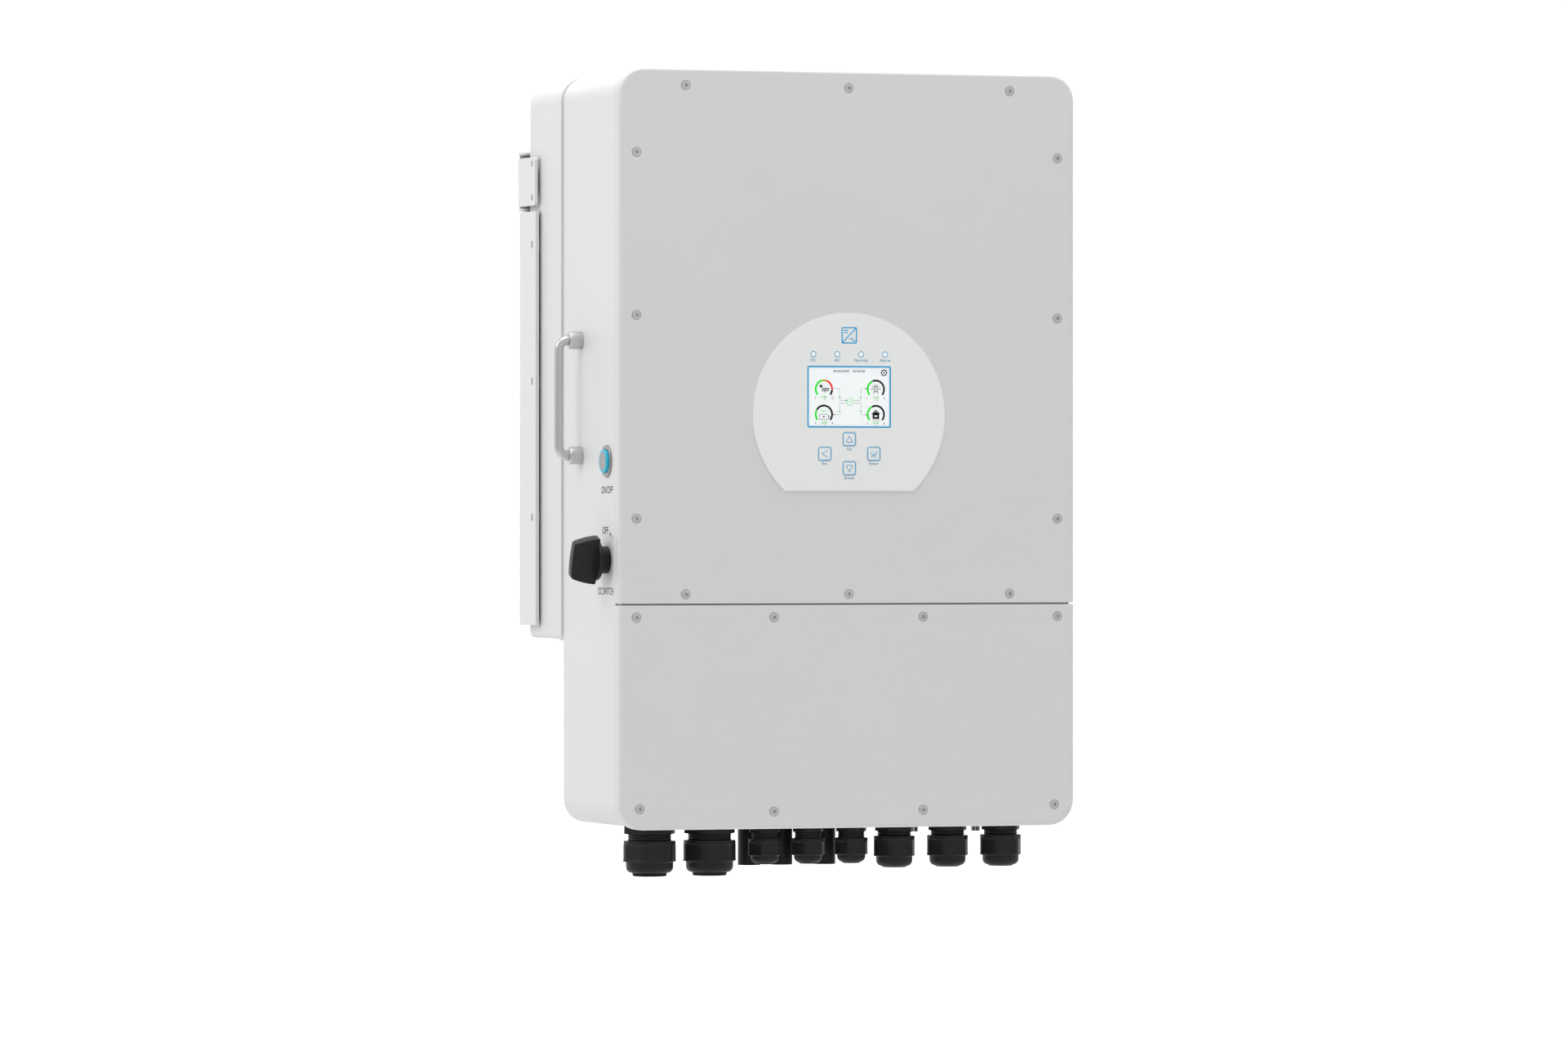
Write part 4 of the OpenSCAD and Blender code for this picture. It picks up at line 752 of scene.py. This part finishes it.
# x runs towards the front, y up, z out of the left side
reading = Matrix(((0, 0, -1, 0), (-1, 0, 0, 0), (0, 1, 0, 0), (0, 0, 0, 1)))
side_print = bmesh.new()
words(side_print, "ON/OFF", 0.0, 284.4, 8.6, squeeze=0.98, weight=0.1)
words(side_print, "OFF", -4.6, 250.4, 8.6, squeeze=1.05, weight=0.1)
words(side_print, "DC SWITCH", -3.5, 199.4, 8.6, squeeze=0.86, weight=0.1)
band(side_print, 0.0, KNOB_HEIGHT, 23.6, 24.2, 72.0, -62.0)
stroke(side_print, (7.4, 248.9), (10.4, 246.4), 0.9)
stroke(side_print, (7.4, 248.9), (8.0, 245.4), 0.7)
words(side_print, "ON", 29.5, KNOB_HEIGHT, 8.0, squeeze=0.6, weight=0.1)
seat = Matrix.Translation(place(SIDE, CONTROL_DEPTH, 0.0)) @ reading @ MILLIMETRES
printed("side_lettering", side_print, seat, "enclosure", SCREEN_INK)

# ---- Handles ----
# Round bars of satin anodised aluminium with two bends, standing in turned ferrules. A screw from
# inside the case pulls each foot down on its ferrule.
HANDLE_DEPTH, HANDLE_LOW, HANDLE_SPAN, REACH, ROD, BEND = 108.0, 314.0, 97.5, 20.0, 4.0, 8.0
ANODISED = finish("satin anodised bar", (0.6, 0.6, 0.605), (0.34, 0.44), metal=0.9, deep=0.97, grain=900.0,
                  stretch=(1.0, 1.0, 0.08), worn=(0.7, 0.7, 0.7), edge=0.0005, dust=0.06)


def handle_bar():
    """One bar, from foot to foot, drawn out of a circle."""
    bar = bmesh.new()
    circle = bmesh.ops.create_circle(bar, cap_ends=False, segments=28, radius=ROD)["verts"]
    edges = list({e for v in circle for e in v.link_edges})

    def straight(ring, step):
        drawn = bmesh.ops.extrude_edge_only(bar, edges=ring)["geom"]
        drawn_out(bar, drawn, step)
        return [g for g in drawn if isinstance(g, bmesh.types.BMEdge)
                and all(v in drawn for v in g.verts) and len(g.link_faces) == 1]

    def bent(ring, centre):
        verts = list({v for e in ring for v in e.verts})
        last = bmesh.ops.spin(bar, geom=verts + ring, cent=centre, axis=(0, 1, 0), dvec=(0, 0, 0),
                              angle=math.pi / 2, steps=10, use_merge=False, use_duplicate=False)["geom_last"]
        return [g for g in last if isinstance(g, bmesh.types.BMEdge)]

    out = REACH - BEND
    ring = straight(edges, (0, 0, out))
    ring = bent(ring, (BEND, 0, out))
    ring = straight(ring, (HANDLE_SPAN - 2 * BEND, 0, 0))
    ring = bent(ring, (HANDLE_SPAN - BEND, 0, out))
    straight(ring, (0, 0, -out))
    bmesh.ops.holes_fill(bar, edges=[e for e in bar.edges if len(e.link_faces) == 1], sides=0)
    return bar


OPPOSITE = Matrix.Scale(-1.0, 4, (1, 0, 0))
foot = on_left(HANDLE_DEPTH, HANDLE_LOW)
for side, seat in (("left", foot), ("right", OPPOSITE @ foot)):
    piece(side + "_handle_bar", set_at(handle_bar(), seat), "enclosure", ANODISED, "handle_metal",
          "handle_" + side)
ferrule = turned([(4.05, 0.0), (7.5, 0.0), (7.5, 10.2), (6.7, 11.5), (5.4, 11.5), (5.2, 11.1), (4.05, 11.1)],
                 soften=0.35, steps=48)
whole = set_at(ferrule, *(seat @ Matrix.Translation((up, 0, 0)) for seat in (foot, OPPOSITE @ foot)
                          for up in (0.0, HANDLE_SPAN)))
piece("handle_feet", whole, "enclosure", ANODISED, "handle_metal", "handle_ferrules")
finished_as(STEEL, "handle_screws")

# ---- Cable glands ----
# Moulded black nylon, two M32, three M20 and three M25 along the floor: a hexagonal collar and
# threaded neck in the case, a domed cap nut with rounded corners, and a rubber seal in its mouth.
GLAND_DEPTH = 60.0
NYLON = finish("black nylon", (0.0145, 0.0145, 0.015), (0.36, 0.5), deep=0.75, shine=0.22, grain=900.0,
               relief=0.00003, patch=40.0, worn=(0.075, 0.075, 0.075), wear=0.55, edge=0.0005, dust=0.22)
RUBBER = finish("gland rubber", (0.009, 0.009, 0.009), (0.6, 0.75), deep=0.8, shine=0.2, grain=1300.0,
                relief=0.00003, dust=0.1)
# name, places, collar across flats, neck radius and end, nut across flats, hexagon end, dome end,
# mouth radius, thread radius, cable bore radius, seal end
GLANDS = (
    ("large", (-157.0, -103.5), 43.0, 17.8, -11.0, 42.0, -28.4, -38.0, 14.6, 16.0, 10.5, -40.8),
    ("medium", (63.0, 111.5, 160.0), 33.0, 13.8, -9.5, 33.0, -26.4, -35.2, 10.9, 12.5, 8.0, -36.0),
    ("small", (-54.0, -15.0, 24.0), 26.0, 10.8, -10.5, 26.0, -24.5, -31.2, 8.0, 10.0, 5.0, -32.0),
)


def gland_parts(collar, neck, top, nut, flats_end, dome_end, mouth, thread, bore, seal_end):
    """The collar with its neck, the cap nut and the seal of one gland, hanging from height 0."""
    wall = mouth - 1.5
    rings = []
    for k in range(3):
        z = -5.4 - 1.9 * k
        if z - 1.2 > top:
            rings += [(neck, z), (neck + 0.7, z - 0.35), (neck + 0.7, z - 0.85), (neck, z - 1.2)]
    body = turned([(wall, 15.0), (thread, 15.0), (thread, 2.0), (collar / 2, 2.0), (collar / 2, -5.0),
                   (neck, -5.0), *rings, (neck, top - 16.0), (wall, top - 16.0)], soften=0.12, steps=72)
    flats = collar * 0.93
    hexagonal(body, flats, -5.2, 2.1, collar / 2, corner=flats / 2 / math.cos(math.pi / 6) - 0.5)
    tip = nut / 2 - 1.0
    dome = [(tip, dome_end + 5.0)] + [
        (tip - 5.0 + 5.0 * math.cos(a), dome_end + 5.0 - 5.0 * math.sin(a)) for a in
        (math.radians(d) for d in (18, 36, 54, 72, 90))]
    cap = turned([(neck + 0.8, top), (nut / 2 + 1.0, top), (nut / 2 + 1.0, top - 2.6), (nut / 2, top - 3.4),
                  (nut / 2, flats_end + 1.6), (nut / 2 + 0.35, flats_end + 1.2),
                  (nut / 2 + 0.35, flats_end + 0.3), (tip, flats_end - 0.6), *dome, (mouth, dome_end),
                  (mouth, top - 17.0), (neck + 0.8, top - 17.0)], soften=0.25, steps=96)
    for v in cap.verts:
        radius = math.hypot(v.co.x, v.co.y)
        if flats_end - 0.2 < v.co.z < top - 2.9 and radius > nut / 2 - 0.4:
            turn = math.atan2(v.co.y, v.co.x) % (math.pi / 3) - math.pi / 6
            factor = (min(nut / 2 + 1.6, nut / 2 / math.cos(turn)) + (radius - nut / 2)) / radius
            v.co.x *= factor
            v.co.y *= factor
    seal = turned([(bore, seal_end), (mouth - 0.9, seal_end), (mouth - 0.1, seal_end + 0.9),
                   (mouth - 0.1, top - 16.2), (mouth - 1.6, top - 16.2), (mouth - 1.6, top - 8.0),
                   (bore, top - 8.0)], soften=0.3, steps=64)
    return body, cap, seal


for size, places, *sizes in GLANDS:
    body, cap, seal = gland_parts(*sizes)
    seats = [Matrix.Translation(place(x, GLAND_DEPTH, 0.0)) @ MILLIMETRES for x in places]
    for part, shape, material, slot, node in (
        ("body", body, NYLON, "gland_nylon", "bodies"),
        ("nut", cap, NYLON, "gland_nylon", "nuts"),
        ("seal", seal, RUBBER, "gland_rubber", "seals"),
    ):
        piece(f"{size}_gland_{part}_set", set_at(shape, *seats), "enclosure", material, slot,
              f"{size}_gland_{node}")
finished_as(NYLON, "gland_locknuts")

# ---- Sockets and earth bolts ----
# Black round sockets for the panels and the plug-in logger hang from the floor behind the small
# glands, and two bright bolts take the earth wires.
finished_as(NYLON, "pv_sockets", "logger_port")
finished_as(STEEL, "earth_bolts")

# ---- Floor, backdrop and light ----
# A pale floor that rolls up into a pale backdrop, a broad light from the upper left, a softer one
# in front, and an even pale surround.
floor = bmesh.new()
run = [floor.verts.new((-9.0, y, z)) for y, z in ((-9.0, -1.25), (2.0, -1.25))]
edge = floor.edges.new(run)
drawn = bmesh.ops.spin(floor, geom=[run[1]], cent=(-9.0, 2.0, 0.0), axis=(1, 0, 0), dvec=(0, 0, 0),
                       angle=math.pi / 2, steps=16, use_merge=False, use_duplicate=False)["geom_last"]
last = next(g for g in drawn if isinstance(g, bmesh.types.BMVert))
floor.edges.new((last, floor.verts.new((last.co.x, last.co.y, 7.0))))
widened = bmesh.ops.extrude_edge_only(floor, edges=floor.edges[:])["geom"]
drawn_out(floor, widened, (18.0, 0.0, 0.0))
bmesh.ops.recalc_face_normals(floor, faces=floor.faces)
bmesh.ops.reverse_faces(floor, faces=floor.faces)
floor_mesh = bpy.data.meshes.new("floor_and_backdrop")
floor.to_mesh(floor_mesh)
floor.free()
floor_mesh.shade_smooth()
PALE = bpy.data.materials.new("pale backdrop")
PALE.use_nodes = True
paper = PALE.node_tree.nodes["Principled BSDF"]
paper.inputs["Base Color"].default_value = (0.82, 0.82, 0.82, 1.0)
paper.inputs["Roughness"].default_value = 0.9
paper.inputs["Emission Color"].default_value = (1.0, 1.0, 1.0, 1.0)
level = wire(PALE.node_tree, "ShaderNodeSeparateXYZ",
             {"Vector": wire(PALE.node_tree, "ShaderNodeTexCoord").outputs["Object"]})
rise = wire(PALE.node_tree, "ShaderNodeMapRange",
            {"Value": level.outputs["Z"], "From Min": -1.25, "From Max": -0.9, "To Min": 0.0, "To Max": 0.55})
PALE.node_tree.links.new(rise.outputs[0], paper.inputs["Emission Strength"])
# seen from outside, the floor and backdrop are clear
behind = wire(PALE.node_tree, "ShaderNodeNewGeometry").outputs["Backfacing"]
clear = wire(PALE.node_tree, "ShaderNodeBsdfTransparent").outputs[0]
either = wire(PALE.node_tree, "ShaderNodeMixShader", {0: behind, 1: paper.outputs[0], 2: clear})
PALE.node_tree.links.new(either.outputs[0], PALE.node_tree.nodes["Material Output"].inputs["Surface"])
floor_mesh.materials.append(PALE)
floor_object = bpy.data.objects.new("floor_and_backdrop", floor_mesh)
bpy.context.scene.collection.objects.link(floor_object)

CENTRE = (cad_box[0] + cad_box[1]) / 2
for name, offset, size, power in (
    ("upper left light", (-2.8, -0.5, 1.9), 2.2, 33.0),
    ("top light", (0.0, -0.3, 2.6), 1.8, 62.0),
    ("front light", (0.6, -3.4, 0.9), 2.6, 13.0),
    ("right light", (3.0, -0.8, 0.6), 2.2, 10.0),
):
    lamp = bpy.data.lights.new(name, "AREA")
    lamp.shape, lamp.size, lamp.energy = "SQUARE", size, power
    held = bpy.data.objects.new(name, lamp)
    held.location = CENTRE + Vector(offset)
    held.rotation_euler = (CENTRE - held.location).to_track_quat("-Z", "Y").to_euler()
    bpy.context.scene.collection.objects.link(held)
world = bpy.data.worlds.new("pale surround")
world.use_nodes = True
world.node_tree.nodes["Background"].inputs["Color"].default_value = (1.0, 1.0, 1.0, 1.0)
world.node_tree.nodes["Background"].inputs["Strength"].default_value = 0.47
bpy.context.scene.world = world
